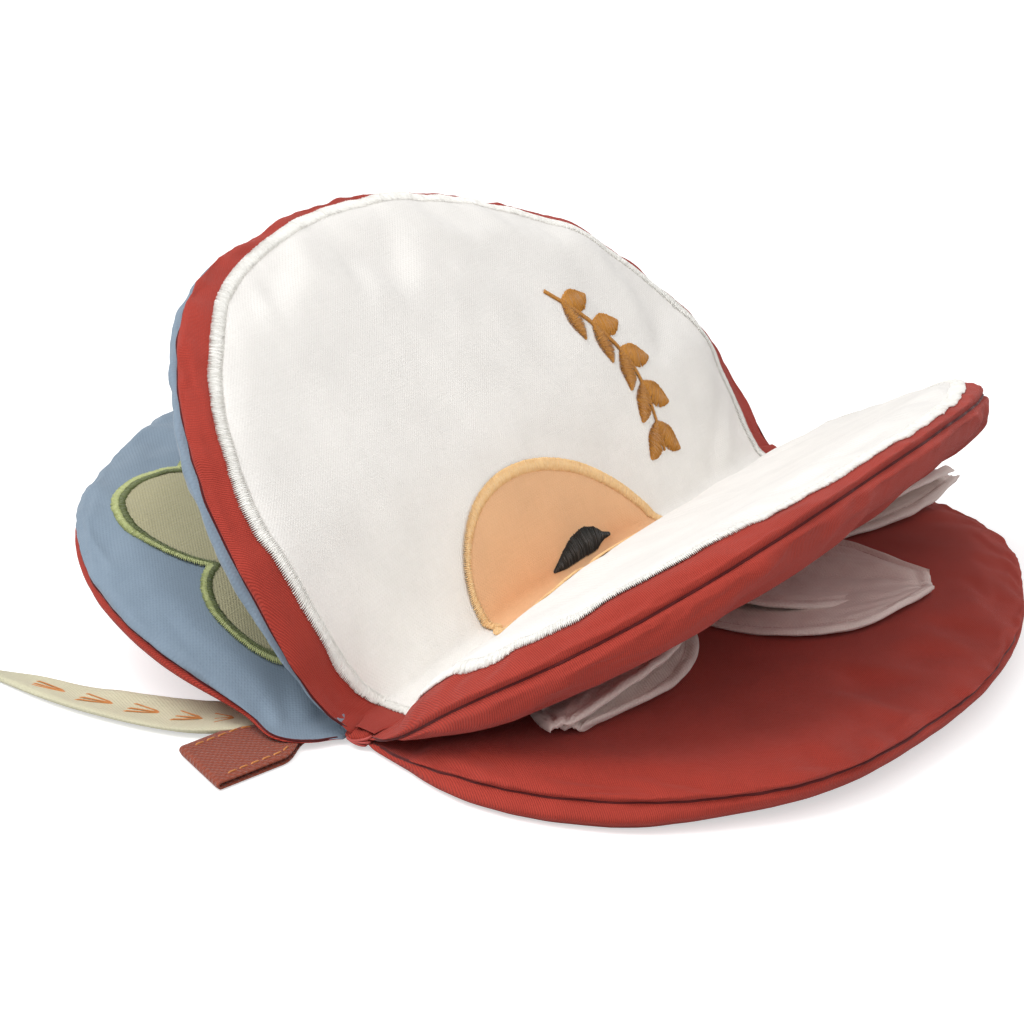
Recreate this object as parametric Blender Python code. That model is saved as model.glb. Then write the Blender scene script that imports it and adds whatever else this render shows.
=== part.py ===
"""Cloth baby book in the shape of a halved apple.

Four padded half-apple leaves are sewn to one spine, which lies along Y with its stem end at -Y.
They fan out from the right cover on the table (+X) over two inner leaves to the left cover.
The origin is on the table, under the middle of the right cover's flat underside.
Places on a leaf are given as along (metres along the spine from its middle), out (metres from
the spine's axis) and height (metres off the leaf's middle surface or off the face of a page).
"""
import math
from collections import namedtuple

import bmesh
import bpy
import numpy as np
from mathutils import Vector

MM = 0.001

# Half apple: the spine's half length, the reach from the spine and the swell of the rim
SPINE_HALF = 98.0 * MM
REACH = 104.6 * MM
RIM_SHARES = (1.0, 1.21, 1.235, 1.09, 1.0, 0.972, 1.005, 1.003, 1.0)
RIM_STEPS = 72
CORNER_SHARES = (0.24, 0.74)

# Padded leaf: two panels of cloth round a sheet of wadding
HALF_THICK = 6.5 * MM
CLOTH = 0.6 * MM
SEAM_GAP = 0.3 * MM
SPINE_EDGE = 0.8 * MM
COVER_EDGE_RIGHT = 4.8 * MM
COVER_EDGE_LEFT = 4.0 * MM
RIM_ROUND = 16.0 * MM
FULL_OUT = 44.0 * MM
WADDING_GAP = 0.6 * MM
WADDING_INSET = 2.4 * MM
WADDING_START = 17.0 * MM
SLOPE_STEP = 0.2 * MM
ACROSS_SHARES = (-1.0, -0.5, 0.0, 0.5, 1.0)
EDGE_SHARES = (-1.0, 0.0, 1.0)
COLUMN_SHARES = (0.0, 0.03, 0.08, 0.16, 0.3, 0.5, 0.7, 0.84, 0.92, 0.97, 1.0)
ROW_SHARES = (0.0, 0.08, 0.17, 0.27, 0.38, 0.52, 0.68, 0.82, 0.91, 0.97, 1.0)

# Spine: a thin roll of seam cloth on the hinge axis of every spread, beside the origin
AXIS_HEIGHT = 5.5 * MM
AXIS_ACROSS = -25.0 * MM
ROLL_RADIUS = 2.2 * MM
ROLL_SIDES = 20
STITCH_RADIUS = 0.4 * MM
STITCH_GAP = 0.3 * MM
STITCH_REACH = 1.9 * MM
STITCH_PITCH = 1.2 * MM
STITCH_ROWS = (-1, 0, 1)

# Opened leaves: direction and curl in radians, lift of the leaf off the axis, where its cloth starts
Leaf = namedtuple("Leaf", "name angle curl lift start")
CURL_SPAN = 140.0 * MM
COVER_RIGHT = Leaf("cover_right", math.radians(1.5), math.radians(1.5) / CURL_SPAN, -0.7 * MM, 2.8 * MM)
LEAF_RIGHT = Leaf("leaf_right", math.radians(23.25), math.radians(20.8) / CURL_SPAN, 0.6 * MM, 2.7 * MM)
LEAF_LEFT = Leaf("leaf_left", math.radians(120.6), math.radians(17.5) / CURL_SPAN, 0.4 * MM, 2.7 * MM)
COVER_LEFT = Leaf("cover_left", math.radians(161.1), 0.0, -2.8 * MM, 3.4 * MM)
UPPER_FACE, LOWER_FACE = 1, -1
OUTER_EDGES = {("cover_right", LOWER_FACE): COVER_EDGE_RIGHT, ("cover_left", UPPER_FACE): COVER_EDGE_LEFT}

# Cut apple on the white spread
PAGE_GAP = 0.45 * MM
APPLIQUE = 0.35 * MM
FLESH_INSET = 10.6 * MM
FLESH_START = 3.3 * MM
FLESH_EDGE_START = 7.0 * MM
SATIN_HALF = 1.25 * MM
SATIN_THICK = 0.8 * MM
SATIN_GAP = 0.3 * MM
SATIN_STEPS = 56
CORE_ALONG = -13.0 * MM
CORE_HALF_LENGTH = 36.2 * MM
CORE_OUT = 29.2 * MM
CORE_START = 4.7 * MM
CORE_EDGE_START = 8.0 * MM
CORE_STEPS = 30
CORE_ARC_STEPS = 20
CORE_RINGS = (1.0, 0.97, 0.66, 0.33)
PIP_ALONG = -10.0 * MM
PIP_OUT = 9.9 * MM
PIP_HALF_LENGTH = 12.5 * MM
PIP_HALF_WIDTH = 3.4 * MM
PIP_STEPS = 16
PIP_POINT_SHARE = 0.02
PIP_FULLNESS = 1.2
PIP_RINGS = (1.0, 0.85)

# Ochre sprig embroidered beside the core: a curved stem with leaflets on both sides
SPRIG_START = (32.0 * MM, 62.0 * MM)
SPRIG_END = (56.0 * MM, 18.0 * MM)
SPRIG_BOW = 6.0 * MM
SPRIG_PAIRS = 5
SPRIG_STEM_RADIUS = 0.5 * MM
LEAFLET_LENGTH = 10.5 * MM
LEAFLET_WIDTH = 5.2 * MM
LEAFLET_THICK = 0.7 * MM
LEAFLET_TURN = math.radians(38.0)
LEAFLET_STEPS = 10
LEAFLET_TAPER = 0.35
LEAFLET_RINGS = (1.0, 0.8)
PAIR_START = 0.3
SPRIG_STEPS = 10

# Green bush on the blue spread, an outline of round lobes: along, out and radius of each
BUSH_RINGS = (1.0, 0.97, 0.7, 0.35)
BUSH_CENTRE = (-56.0 * MM, 53.0 * MM)
BUSH_LOBES = (
    (-73.0 * MM, 68.0 * MM, 18.0 * MM),
    (-78.0 * MM, 42.0 * MM, 18.0 * MM),
    (-48.0 * MM, 34.0 * MM, 18.0 * MM),
    (-36.0 * MM, 56.0 * MM, 17.0 * MM),
    (-48.0 * MM, 74.0 * MM, 16.0 * MM),
)
BUSH_STEPS = 48

# Loose petals of the red spread: root, tip, half width
Petal = namedtuple("Petal", "name root tip half_width")
PETAL_THICK = 1.0 * MM
PETAL_GAP = 0.5 * MM
PETAL_WIDTH_SHARES = (0.3, 0.62, 0.84, 0.96, 1.0, 0.93, 0.72, 0.42, 0.14)
PETALS = (
    Petal("stem", (-18.0 * MM, 25.5 * MM), (-94.0 * MM, 46.0 * MM), 13.5 * MM),
    Petal("middle", (-1.5 * MM, 25.5 * MM), (1.0 * MM, 80.0 * MM), 22.5 * MM),
    Petal("blossom", (15.0 * MM, 25.5 * MM), (86.0 * MM, 53.0 * MM), 13.5 * MM),
)

# Tape loop at the stem end, folded double, its root under the left cover
TAPE_THICK = 0.7 * MM
TAPE_HALF_WIDTH = 9.6 * MM
TAPE_ROOT_HALF = 3.6 * MM
TAPE_LENGTH = 27.0 * MM
TAPE_FLARE = 10.0 * MM
TAPE_FOLD_RADIUS = 1.05 * MM
TAPE_ROOT = (-11.5 * MM, -1.5 * MM)
TAPE_HEADING = math.radians(242.0)
TAPE_ROOT_RISE = 0.3 * MM
TAPE_STEPS = 9
TAPE_FOLD_STEPS = 4
TABLE_CLEAR = 0.3 * MM
TOPSTITCH_START = 10.0 * MM
TOPSTITCH_INSET = 1.8 * MM
TOPSTITCH_RADIUS = 0.3 * MM
TOPSTITCH_GAP = 0.3 * MM

# Cloth leaf beside the tape: two layers sewn together, stitched veins on top
STEM_LEAF_LINE = (
    (-14.0 * MM, 6.0 * MM),
    (-25.0 * MM, 2.0 * MM),
    (-38.0 * MM, -5.0 * MM),
    (-63.0 * MM, -9.5 * MM),
    (-90.0 * MM, -10.0 * MM),
)
STEM_LEAF_HALF = 8.0 * MM
STEM_LEAF_WIDTH_SHARES = (0.26, 0.34, 0.52, 0.84, 1.0, 0.99, 0.93, 0.82, 0.66, 0.36)
STEM_LEAF_CLOTH = 0.6 * MM
STEM_LEAF_RISE = 0.8 * MM
STEM_LEAF_DROP = 18.0 * MM
STEM_LEAF_CUP = 1.2 * MM
VEIN_PAIRS = 6
VEIN_RADIUS = 0.3 * MM
VEIN_SHARES = (0.3, 0.93)
VEIN_LEAN_SHARE = 0.1
VEIN_THIN_SHARE = 0.9
VEIN_REACH_SHARE = 0.66

COLOURS = {
    "red_twill": (0.44, 0.055, 0.04),
    "blue_cotton": (0.26, 0.36, 0.50),
    "white_cotton": (0.80, 0.79, 0.76),
    "white_satin": (0.84, 0.83, 0.79),
    "peach_cotton": (0.72, 0.41, 0.22),
    "peach_satin": (0.86, 0.62, 0.36),
    "pip_satin": (0.02, 0.02, 0.018),
    "ochre_satin": (0.48, 0.20, 0.03),
    "green_cotton": (0.43, 0.41, 0.26),
    "green_satin": (0.30, 0.38, 0.16),
    "petal_cotton": (0.75, 0.60, 0.57),
    "tape_canvas": (0.30, 0.09, 0.04),
    "orange_thread": (0.60, 0.22, 0.05),
    "leaf_cotton": (0.66, 0.62, 0.45),
    "wadding": (0.85, 0.85, 0.83),
    "red_thread": (0.50, 0.07, 0.06),
}
CLOTH_ROUGHNESS = 0.9
SHARP_ANGLE = math.radians(50.0)
MERGE_SHARE = 0.001


def clear_scene():
    for item in list(bpy.data.objects):
        bpy.data.objects.remove(item, do_unlink=True)


def material_for(name):
    material = bpy.data.materials.get(name)
    if material is None:
        material = bpy.data.materials.new(name)
        material.use_nodes = True
        shader = material.node_tree.nodes["Principled BSDF"]
        shader.inputs["Base Color"].default_value = (*COLOURS[name], 1.0)
        shader.inputs["Roughness"].default_value = CLOTH_ROUGHNESS
        shader.inputs["Metallic"].default_value = 0.0
    return material


def book_collection():
    collection = bpy.data.collections.get("cloth_book")
    if collection is None:
        collection = bpy.data.collections.new("cloth_book")
        bpy.context.scene.collection.children.link(collection)
    return collection


def joint_empty(name, place):
    """The point that a moving body turns about; its pieces are its children."""
    empty = bpy.data.objects.new(name, None)
    empty.location = place
    empty.hide_render = True
    book_collection().objects.link(empty)
    return empty


def face_out(shape):
    bmesh.ops.recalc_face_normals(shape, faces=shape.faces)
    if shape.calc_volume(signed=True) < 0:
        bmesh.ops.reverse_faces(shape, faces=shape.faces)


def add_piece(name, shape, material, body):
    """Turn a bmesh into an object whose origin is its body's joint."""
    face_out(shape)
    bmesh.ops.translate(shape, verts=shape.verts, vec=-body.location)
    mesh = bpy.data.meshes.new(name)
    shape.to_mesh(mesh)
    shape.free()
    mesh.shade_smooth()
    mesh.set_sharp_from_angle(angle=SHARP_ANGLE)
    mesh.materials.append(material_for(material))
    piece = bpy.data.objects.new(name, mesh)
    book_collection().objects.link(piece)
    piece.parent = body
    return piece


def smooth(values, share):
    """Catmull-Rom through evenly spaced values, at shares from 0 to 1."""
    values = np.asarray(values, dtype=float)
    ends = (2 * values[:1] - values[1:2], values, 2 * values[-1:] - values[-2:-1])
    padded = np.concatenate(ends)
    place = np.clip(np.asarray(share, dtype=float), 0.0, 1.0) * (len(values) - 1)
    low = np.minimum(place.astype(int), len(values) - 2)
    part = place - low
    if values.ndim > 1:
        part = part[..., None]
    before, start, end, after = (padded[low + step] for step in range(4))
    return start + 0.5 * part * (
        end - before
        + part * (2 * before - 5 * start + 4 * end - after + part * (3 * (start - end) + after - before))
    )


def ease(share):
    share = min(max(share, 0.0), 1.0)
    return share * share * (3.0 - 2.0 * share)


def leaf_point(leaf, along, out, height):
    """World place of a point on a leaf that leaves the spine at its angle and curls on its way."""
    half_turn = leaf.curl * out / 2
    chord = out * float(np.sinc(half_turn / math.pi))
    bearing = leaf.angle + half_turn
    normal = leaf.angle + leaf.curl * out
    across = chord * math.cos(bearing) - height * math.sin(normal)
    up = AXIS_HEIGHT + leaf.lift + chord * math.sin(bearing) + height * math.cos(normal)
    return Vector((AXIS_ACROSS + across, along, up))


def rim_line(inset=0.0, start=0.0):
    """The half apple's rim from the stem end to the blossom end, as rows of along and out."""
    bow = np.linspace(math.pi, 0.0, RIM_STEPS + 1)
    swell = smooth(RIM_SHARES, 1.0 - bow / math.pi)
    line = np.column_stack((SPINE_HALF * swell * np.cos(bow), REACH * swell * np.sin(bow)))
    step = np.gradient(line, axis=0)
    step /= np.linalg.norm(step, axis=1)[:, None]
    line = line - inset * np.column_stack((-step[:, 1], step[:, 0]))
    if start <= 0.0:
        return line
    kept = np.nonzero(line[:, 1] > start)[0]
    first = np.interp(start, line[: kept[0] + 1, 1], line[: kept[0] + 1, 0])
    last = np.interp(start, line[kept[-1]:, 1][::-1], line[kept[-1]:, 0][::-1])
    return np.vstack(((first, start), line[kept], (last, start)))


FULL_RIM = rim_line()


def rim_depth(along, out):
    """How far inside the rim a point lies; 0 on it and outside."""
    start = FULL_RIM[:-1]
    run = FULL_RIM[1:] - start
    offset = np.array((along, out)) - start
    share = np.clip((offset * run).sum(1) / (run * run).sum(1), 0.0, 1.0)
    gap = offset - share[:, None] * run
    distance = np.hypot(gap[:, 0], gap[:, 1])
    nearest = int(distance.argmin())
    side = run[nearest, 0] * offset[nearest, 1] - run[nearest, 1] * offset[nearest, 0]
    return float(distance[nearest]) if side < 0 else 0.0


def line_at(line, share):
    run = np.hypot(*np.diff(line, axis=0).T)
    length = np.concatenate(((0.0,), np.cumsum(run)))
    return np.array([np.interp(share * length[-1], length, line[:, axis]) for axis in (0, 1)])


def quilt_place(line, column, row):
    """Coons patch over the half apple: its straight foot and three stretches of rim carry the grid."""
    low, high = CORNER_SHARES
    top = line_at(line, low + (high - low) * column)
    left = line_at(line, low * row)
    right = line_at(line, 1.0 + (high - 1.0) * row)
    corner = line_at(line, low)
    top_chord = corner + (line_at(line, high) - corner) * column
    return left + (right - left) * column + row * (top - top_chord)


def crown(leaf, edge, out):
    """Height of a leaf's face away from its rim: it rises from the edge at the spine to the full padding."""
    return edge + (HALF_THICK - edge) * ease((out - leaf.start) / (FULL_OUT - leaf.start))


def half_thickness(leaf, face, along, out):
    """Height of a leaf's face over its middle surface: a padded dome, thin at spine and rim."""
    depth = min(rim_depth(along, out) / RIM_ROUND, 1.0)
    dome = math.sqrt(1.0 - (1.0 - depth) ** 2)
    seam = SEAM_GAP / 2
    edge = OUTER_EDGES.get((leaf.name, face), SPINE_EDGE)
    height = seam + dome * (crown(leaf, edge, out) - seam)
    if (leaf.name, face) in OUTER_EDGES:
        tilt = abs(math.cos(leaf.angle + leaf.curl * out))
        height = min(height, leaf_point(leaf, along, out, 0.0).z / tilt)
    return height


def face_slope(leaf, face, along, out):
    step = SLOPE_STEP
    by_along = half_thickness(leaf, face, along + step, out) - half_thickness(leaf, face, along - step, out)
    by_out = half_thickness(leaf, face, along, out + step) - half_thickness(leaf, face, along, out - step)
    return by_along / (2 * step), by_out / (2 * step)


def page_point(leaf, face, along, out, height):
    """A point at a height off the face of a page."""
    return leaf_point(leaf, along, out, face * (half_thickness(leaf, face, along, out) + height))


def slab(columns, rows, place):
    """A closed sheet: a grid extruded once, whose corners go where place(column, row, side) says."""
    shape = bmesh.new()
    bmesh.ops.create_grid(shape, x_segments=len(columns) - 1, y_segments=len(rows) - 1, size=1)
    grown = bmesh.ops.extrude_face_region(shape, geom=list(shape.faces), use_keep_orig=True)
    upper = {item for item in grown["geom"] if isinstance(item, bmesh.types.BMVert)}
    for corner in shape.verts:
        column = columns[round((corner.co.x + 1) / 2 * (len(columns) - 1))]
        row = rows[round((corner.co.y + 1) / 2 * (len(rows) - 1))]
        corner.co = place(column, row, 1 if corner in upper else 0)
    return shape


def plate(outline, rings, thickness, place):
    """A round-edged plate over a closed outline, made from a sphere: rings are shares of the outline."""
    outline = np.asarray(outline)
    centre = outline.mean(axis=0)
    levels = len(rings)
    shape = bmesh.new()
    bmesh.ops.create_uvsphere(shape, u_segments=len(outline), v_segments=2 * levels, radius=1)
    for corner in shape.verts:
        turn = math.atan2(corner.co.y, corner.co.x) % math.tau
        sector = round(turn / math.tau * len(outline)) % len(outline)
        level = round(math.asin(max(-1.0, min(1.0, corner.co.z))) / (math.pi / 2) * levels)
        share = 0.0 if abs(level) == levels else rings[abs(level)]
        along, out = centre + share * (outline[sector] - centre)
        height = thickness / 2 * (1 + (level > 0) - (level < 0))
        corner.co = place(along, out, height)
    return shape


def band(path, half_width, thickness, place):
    """A flat closed band that runs along a closed path, from a grid rolled into a ring."""
    path = np.asarray(path)
    step = np.roll(path, -1, axis=0) - np.roll(path, 1, axis=0)
    step /= np.linalg.norm(step, axis=1)[:, None]
    side = np.column_stack((-step[:, 1], step[:, 0])) * half_width
    corners = ((-1, 0), (1, 0), (1, 1), (-1, 1))
    shape = bmesh.new()
    bmesh.ops.create_grid(shape, x_segments=len(path), y_segments=len(corners), size=1)
    for corner in shape.verts:
        station = round((corner.co.x + 1) / 2 * len(path)) % len(path)
        across, level = corners[round((corner.co.y + 1) / 2 * len(corners)) % len(corners)]
        along, out = path[station] + across * side[station]
        corner.co = place(along, out, level * thickness)
    bmesh.ops.remove_doubles(shape, verts=shape.verts, dist=SEAM_GAP * MERGE_SHARE)
    return shape


def strip(path, half_width, thickness, place):
    """A flat band along an open path."""
    path = np.asarray(path)
    step = np.gradient(path, axis=0)
    step /= np.linalg.norm(step, axis=1)[:, None]
    side = np.column_stack((-step[:, 1], step[:, 0])) * half_width

    def band_place(station, across, upper):
        along, out = path[station] + across * side[station]
        return place(along, out, upper * thickness)

    return slab(range(len(path)), (-1, 1), band_place)


def thread(path, radius):
    """A round thread along a path of points, as a closed tube."""
    curve = bpy.data.curves.new("thread_guide", "CURVE")
    curve.dimensions = "3D"
    curve.bevel_depth = radius
    curve.bevel_resolution = 1
    curve.use_fill_caps = True
    spline = curve.splines.new("POLY")
    spline.points.add(len(path) - 1)
    for point, place in zip(spline.points, path):
        point.co = (*place, 1.0)
    guide = bpy.data.objects.new("thread_guide", curve)
    bpy.context.scene.collection.objects.link(guide)
    graph = bpy.context.evaluated_depsgraph_get()
    mesh = bpy.data.meshes.new_from_object(guide.evaluated_get(graph))
    shape = bmesh.new()
    shape.from_mesh(mesh)
    bmesh.ops.remove_doubles(shape, verts=shape.verts, dist=SEAM_GAP * MERGE_SHARE)
    bpy.data.objects.remove(guide, do_unlink=True)
    bpy.data.meshes.remove(mesh)
    return shape


def sew_on(piece, shapes):
    """Join closed shapes to the piece that they overlap, each from a hidden object of its own."""
    collection = bpy.data.collections.get("joined_shapes")
    if collection is None:
        collection = bpy.data.collections.new("joined_shapes")
        bpy.context.scene.collection.children.link(collection)
    for number, shape in enumerate(shapes):
        face_out(shape)
        mesh = bpy.data.meshes.new("{}_{}".format(piece.name, number))
        shape.to_mesh(mesh)
        shape.free()
        other = bpy.data.objects.new(mesh.name, mesh)
        other.hide_render = True
        other.display_type = "WIRE"
        collection.objects.link(other)
        union = piece.modifiers.new("join_{}".format(number), "BOOLEAN")
        union.operation = "UNION"
        union.object = other


def panel(leaf, face):
    """One cloth panel of a leaf: its outside is the page's face, its inside lies the cloth's thickness in."""
    line = rim_line(start=leaf.start)

    def place(column, row, outside):
        along, out = quilt_place(line, column, row)
        height = half_thickness(leaf, face, along, out)
        if not outside:
            by_along, by_out = face_slope(leaf, face, along, out)
            length = math.hypot(1.0, by_along, by_out)
            along += CLOTH * by_along / length
            out += CLOTH * by_out / length
            height = max(height - CLOTH / length, SEAM_GAP / 2)
        return leaf_point(leaf, along, out, face * height)

    return slab(COLUMN_SHARES, ROW_SHARES, place)


def wadding(leaf):
    """The sheet of wadding between a leaf's panels."""
    line = rim_line(WADDING_INSET, WADDING_START)

    def place(column, row, upper):
        along, out = quilt_place(line, column, row)
        face = UPPER_FACE if upper else LOWER_FACE
        by_along, by_out = face_slope(leaf, face, along, out)
        depth = (CLOTH + WADDING_GAP) * math.hypot(1.0, by_along, by_out)
        height = max(half_thickness(leaf, face, along, out) - depth, SEAM_GAP / 2)
        return leaf_point(leaf, along, out, face * height)

    return slab(COLUMN_SHARES[1:-1:2], ROW_SHARES[1::2], place)


def add_leaf(leaf, body, upper, lower):
    """A whole padded leaf: each face has the name of its node and the cloth it is made of."""
    add_piece(leaf.name + "_" + upper[0], panel(leaf, UPPER_FACE), upper[1], body)
    add_piece(leaf.name + "_" + lower[0], panel(leaf, LOWER_FACE), lower[1], body)
    add_piece(leaf.name + "_wadding", wadding(leaf), "wadding", body)


def closed_outline(line, steps):
    """Even points round a rim line and back along its straight foot."""
    loop = np.vstack((line, line[:1]))
    return np.array([line_at(loop, step / steps) for step in range(steps)])


def swept_out(outline, amount):
    """A closed outline moved outwards, away from the cloth that it borders."""
    step = np.roll(outline, -1, axis=0) - np.roll(outline, 1, axis=0)
    step /= np.linalg.norm(step, axis=1)[:, None]
    side = np.column_stack((-step[:, 1], step[:, 0]))
    area = np.cross(outline, np.roll(outline, -1, axis=0)).sum()
    return outline - math.copysign(amount, area) * side


def add_flesh(leaf, face, body):
    """White flesh of the cut apple with its satin edge, which lies inside the red rim."""
    line = rim_line(FLESH_INSET, FLESH_START)

    def place(column, row, upper):
        along, out = quilt_place(line, column, row)
        return page_point(leaf, face, along, out, PAGE_GAP + upper * APPLIQUE)

    def satin(along, out, height):
        return page_point(leaf, face, along, out, PAGE_GAP + height)

    side = leaf.name.split("_")[1]
    add_piece("flesh_" + side, slab(COLUMN_SHARES, ROW_SHARES, place), "white_cotton", body)
    edge = rim_line(FLESH_INSET - SATIN_HALF - SATIN_GAP, FLESH_EDGE_START)
    path = [line_at(edge, step / SATIN_STEPS) for step in range(SATIN_STEPS + 1)]
    add_piece("flesh_edge_" + side, strip(path, SATIN_HALF, SATIN_THICK, satin), "white_satin", body)


def core_arc(start, swell=0.0):
    """Half oval of the core, open along the fold of the spread."""
    first = math.asin(start / (CORE_OUT + swell))
    turn = np.linspace(first, math.pi - first, CORE_ARC_STEPS)
    return np.column_stack((CORE_ALONG + (CORE_HALF_LENGTH + swell) * np.cos(turn),
                            (CORE_OUT + swell) * np.sin(turn)))


def pip_outline():
    """A drop: pointed towards the stem end, round at the other."""
    turn = np.arange(PIP_STEPS) * math.tau / PIP_STEPS
    along = PIP_ALONG + PIP_HALF_LENGTH * np.cos(turn)
    roundness = np.sqrt((1.0 + np.cos(turn)) / 2.0 + PIP_POINT_SHARE)
    out = PIP_OUT + PIP_HALF_WIDTH * np.sin(turn) * roundness * PIP_FULLNESS
    return np.column_stack((along, out))


def add_core(leaf, face, body):
    """Peach core with its satin edge, and the dark pip on it."""
    side = leaf.name.split("_")[1]
    base = PAGE_GAP + APPLIQUE + PAGE_GAP

    def cloth(along, out, height):
        return page_point(leaf, face, along, out, base + height)

    def seed(along, out, height):
        return page_point(leaf, face, along, out, base + APPLIQUE + PAGE_GAP + height)

    outline = closed_outline(core_arc(CORE_START), CORE_STEPS)
    add_piece("core_" + side, plate(outline, CORE_RINGS, APPLIQUE, cloth), "peach_cotton", body)
    arc = core_arc(CORE_EDGE_START, SATIN_HALF + SATIN_GAP)
    edge = strip(arc, SATIN_HALF, SATIN_THICK, cloth)
    add_piece("core_edge_" + side, edge, "peach_satin", body)
    add_piece("pip_" + side, plate(pip_outline(), PIP_RINGS, APPLIQUE, seed), "pip_satin", body)


def sprig_stem(share):
    """A point of the sprig's bowed stem and its direction there."""
    start, end = np.array(SPRIG_START), np.array(SPRIG_END)
    run = end - start
    side = np.array((-run[1], run[0])) / np.linalg.norm(run)
    place = start + run * share + side * SPRIG_BOW * math.sin(math.pi * share)
    heading = run + side * SPRIG_BOW * math.pi * math.cos(math.pi * share)
    return place, math.atan2(heading[1], heading[0])


def leaflet_outline(centre, heading):
    turn = np.arange(LEAFLET_STEPS) * math.tau / LEAFLET_STEPS
    length = LEAFLET_LENGTH / 2 * np.cos(turn)
    width = LEAFLET_WIDTH / 2 * np.sin(turn) * (1.0 - LEAFLET_TAPER * np.cos(turn) ** 2)
    return np.column_stack((centre[0] + length * math.cos(heading) - width * math.sin(heading),
                            centre[1] + length * math.sin(heading) + width * math.cos(heading)))


def add_sprig(leaf, face, body):
    """Ochre sprig: pairs of leaflets along a stem, with one more at the tip."""
    base = PAGE_GAP + APPLIQUE + PAGE_GAP

    def place(along, out, height):
        return page_point(leaf, face, along, out, base + height)

    leaflets = []
    for pair in range(SPRIG_PAIRS):
        point, heading = sprig_stem((pair + PAIR_START) / SPRIG_PAIRS)
        for hand in (-1, 1):
            turn = heading + hand * LEAFLET_TURN
            centre = point + LEAFLET_LENGTH / 2 * np.array((math.cos(turn), math.sin(turn)))
            leaflets.append(plate(leaflet_outline(centre, turn), LEAFLET_RINGS, LEAFLET_THICK, place))
    path = [place(*sprig_stem(step / SPRIG_STEPS)[0], SPRIG_STEM_RADIUS) for step in range(SPRIG_STEPS + 1)]
    sprig = add_piece("sprig", thread(path, SPRIG_STEM_RADIUS), "ochre_satin", body)
    sew_on(sprig, leaflets)


def bush_outline():
    """The outer edge of the lobes, seen from the bush's middle."""
    points = []
    for step in range(BUSH_STEPS):
        turn = step * math.tau / BUSH_STEPS
        ray = np.array((math.cos(turn), math.sin(turn)))
        far = 0.0
        for along, out, radius in BUSH_LOBES:
            offset = np.array((along, out)) - BUSH_CENTRE
            ahead = float(offset @ ray)
            room = radius ** 2 - float(offset @ offset) + ahead ** 2
            if room > 0:
                far = max(far, ahead + math.sqrt(room))
        points.append(np.array(BUSH_CENTRE) + far * ray)
    return np.array(points)


def add_bush(leaf, face, body):
    def place(along, out, height):
        return page_point(leaf, face, along, out, PAGE_GAP + height)

    outline = bush_outline()
    add_piece("bush", plate(outline, BUSH_RINGS, APPLIQUE, place), "green_cotton", body)
    edge = swept_out(outline, SATIN_HALF + SATIN_GAP)
    add_piece("bush_edge", band(edge, SATIN_HALF, SATIN_THICK, place), "green_satin", body)


def add_petal(name, petal, leaf, face):
    """A flat cloth petal that lies along a page, free from its sewn root to its tip."""
    root = np.array(petal.root)
    run = np.array(petal.tip) - root
    side = np.array((-run[1], run[0])) / np.linalg.norm(run)
    stations = len(PETAL_WIDTH_SHARES) - 1
    columns = [step / stations for step in range(stations + 1)]

    def place(column, row, upper):
        half = petal.half_width * smooth(PETAL_WIDTH_SHARES, column)
        along, out = root + run * column + side * half * row
        height = crown(leaf, SPINE_EDGE, out) + PETAL_GAP + upper * PETAL_THICK
        return leaf_point(leaf, along, out, face * height)

    hinge = joint_empty(name + "_root", place(0.0, 0.0, 0.5))
    return add_piece(name, slab(columns, ACROSS_SHARES, place), "petal_cotton", hinge)


def add_roll(body):
    """Roll of seam cloth that the four leaves are sewn to."""
    shape = bmesh.new()
    bmesh.ops.create_cone(shape, cap_ends=True, segments=ROLL_SIDES, radius1=ROLL_RADIUS,
                          radius2=ROLL_RADIUS, depth=2 * SPINE_HALF)
    for corner in shape.verts:
        across, height, along = corner.co
        corner.co = (AXIS_ACROSS + across, along, AXIS_HEIGHT + height)
    add_piece("spine_roll", shape, "red_twill", body)


def add_spine_stitches(name, end, body):
    """Hand stitches across one end of the spine roll."""
    along = end * (SPINE_HALF + STITCH_GAP + STITCH_RADIUS)
    path = []
    for step, row in enumerate(STITCH_ROWS):
        height = row * STITCH_PITCH
        across = math.sqrt(STITCH_REACH ** 2 - height ** 2) * (-1) ** step
        path.append((AXIS_ACROSS + across, along, AXIS_HEIGHT + height))
    add_piece(name, thread(path, STITCH_RADIUS), "red_thread", body)


def tape_profile():
    """Middle line of the folded tape, as distance from the root and height over the table."""
    low = TABLE_CLEAR + TAPE_THICK / 2
    high = low + 2 * TAPE_FOLD_RADIUS
    runs = [TAPE_LENGTH * step / TAPE_STEPS for step in range(TAPE_STEPS + 1)]
    line = [(run, low + tape_rise(run)) for run in runs]
    for step in range(1, TAPE_FOLD_STEPS):
        turn = math.pi * step / TAPE_FOLD_STEPS
        line.append((TAPE_LENGTH + TAPE_FOLD_RADIUS * math.sin(turn),
                     low + TAPE_FOLD_RADIUS * (1 - math.cos(turn))))
    line += [(run, high + tape_rise(run)) for run in reversed(runs)]
    return np.array(line)


def tape_rise(run):
    return TAPE_ROOT_RISE * (1.0 - ease(run / TAPE_FLARE))


def tape_place(run, across, height):
    """A point over the table, at a distance from the tape's root and a share of its half width."""
    half = TAPE_ROOT_HALF + (TAPE_HALF_WIDTH - TAPE_ROOT_HALF) * ease(run / TAPE_FLARE)
    ahead = np.array((math.cos(TAPE_HEADING), math.sin(TAPE_HEADING)))
    side = np.array((-ahead[1], ahead[0]))
    flat = np.array(TAPE_ROOT) + run * ahead + across * half * side
    return Vector((AXIS_ACROSS + flat[0], flat[1] - SPINE_HALF, height))


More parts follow.
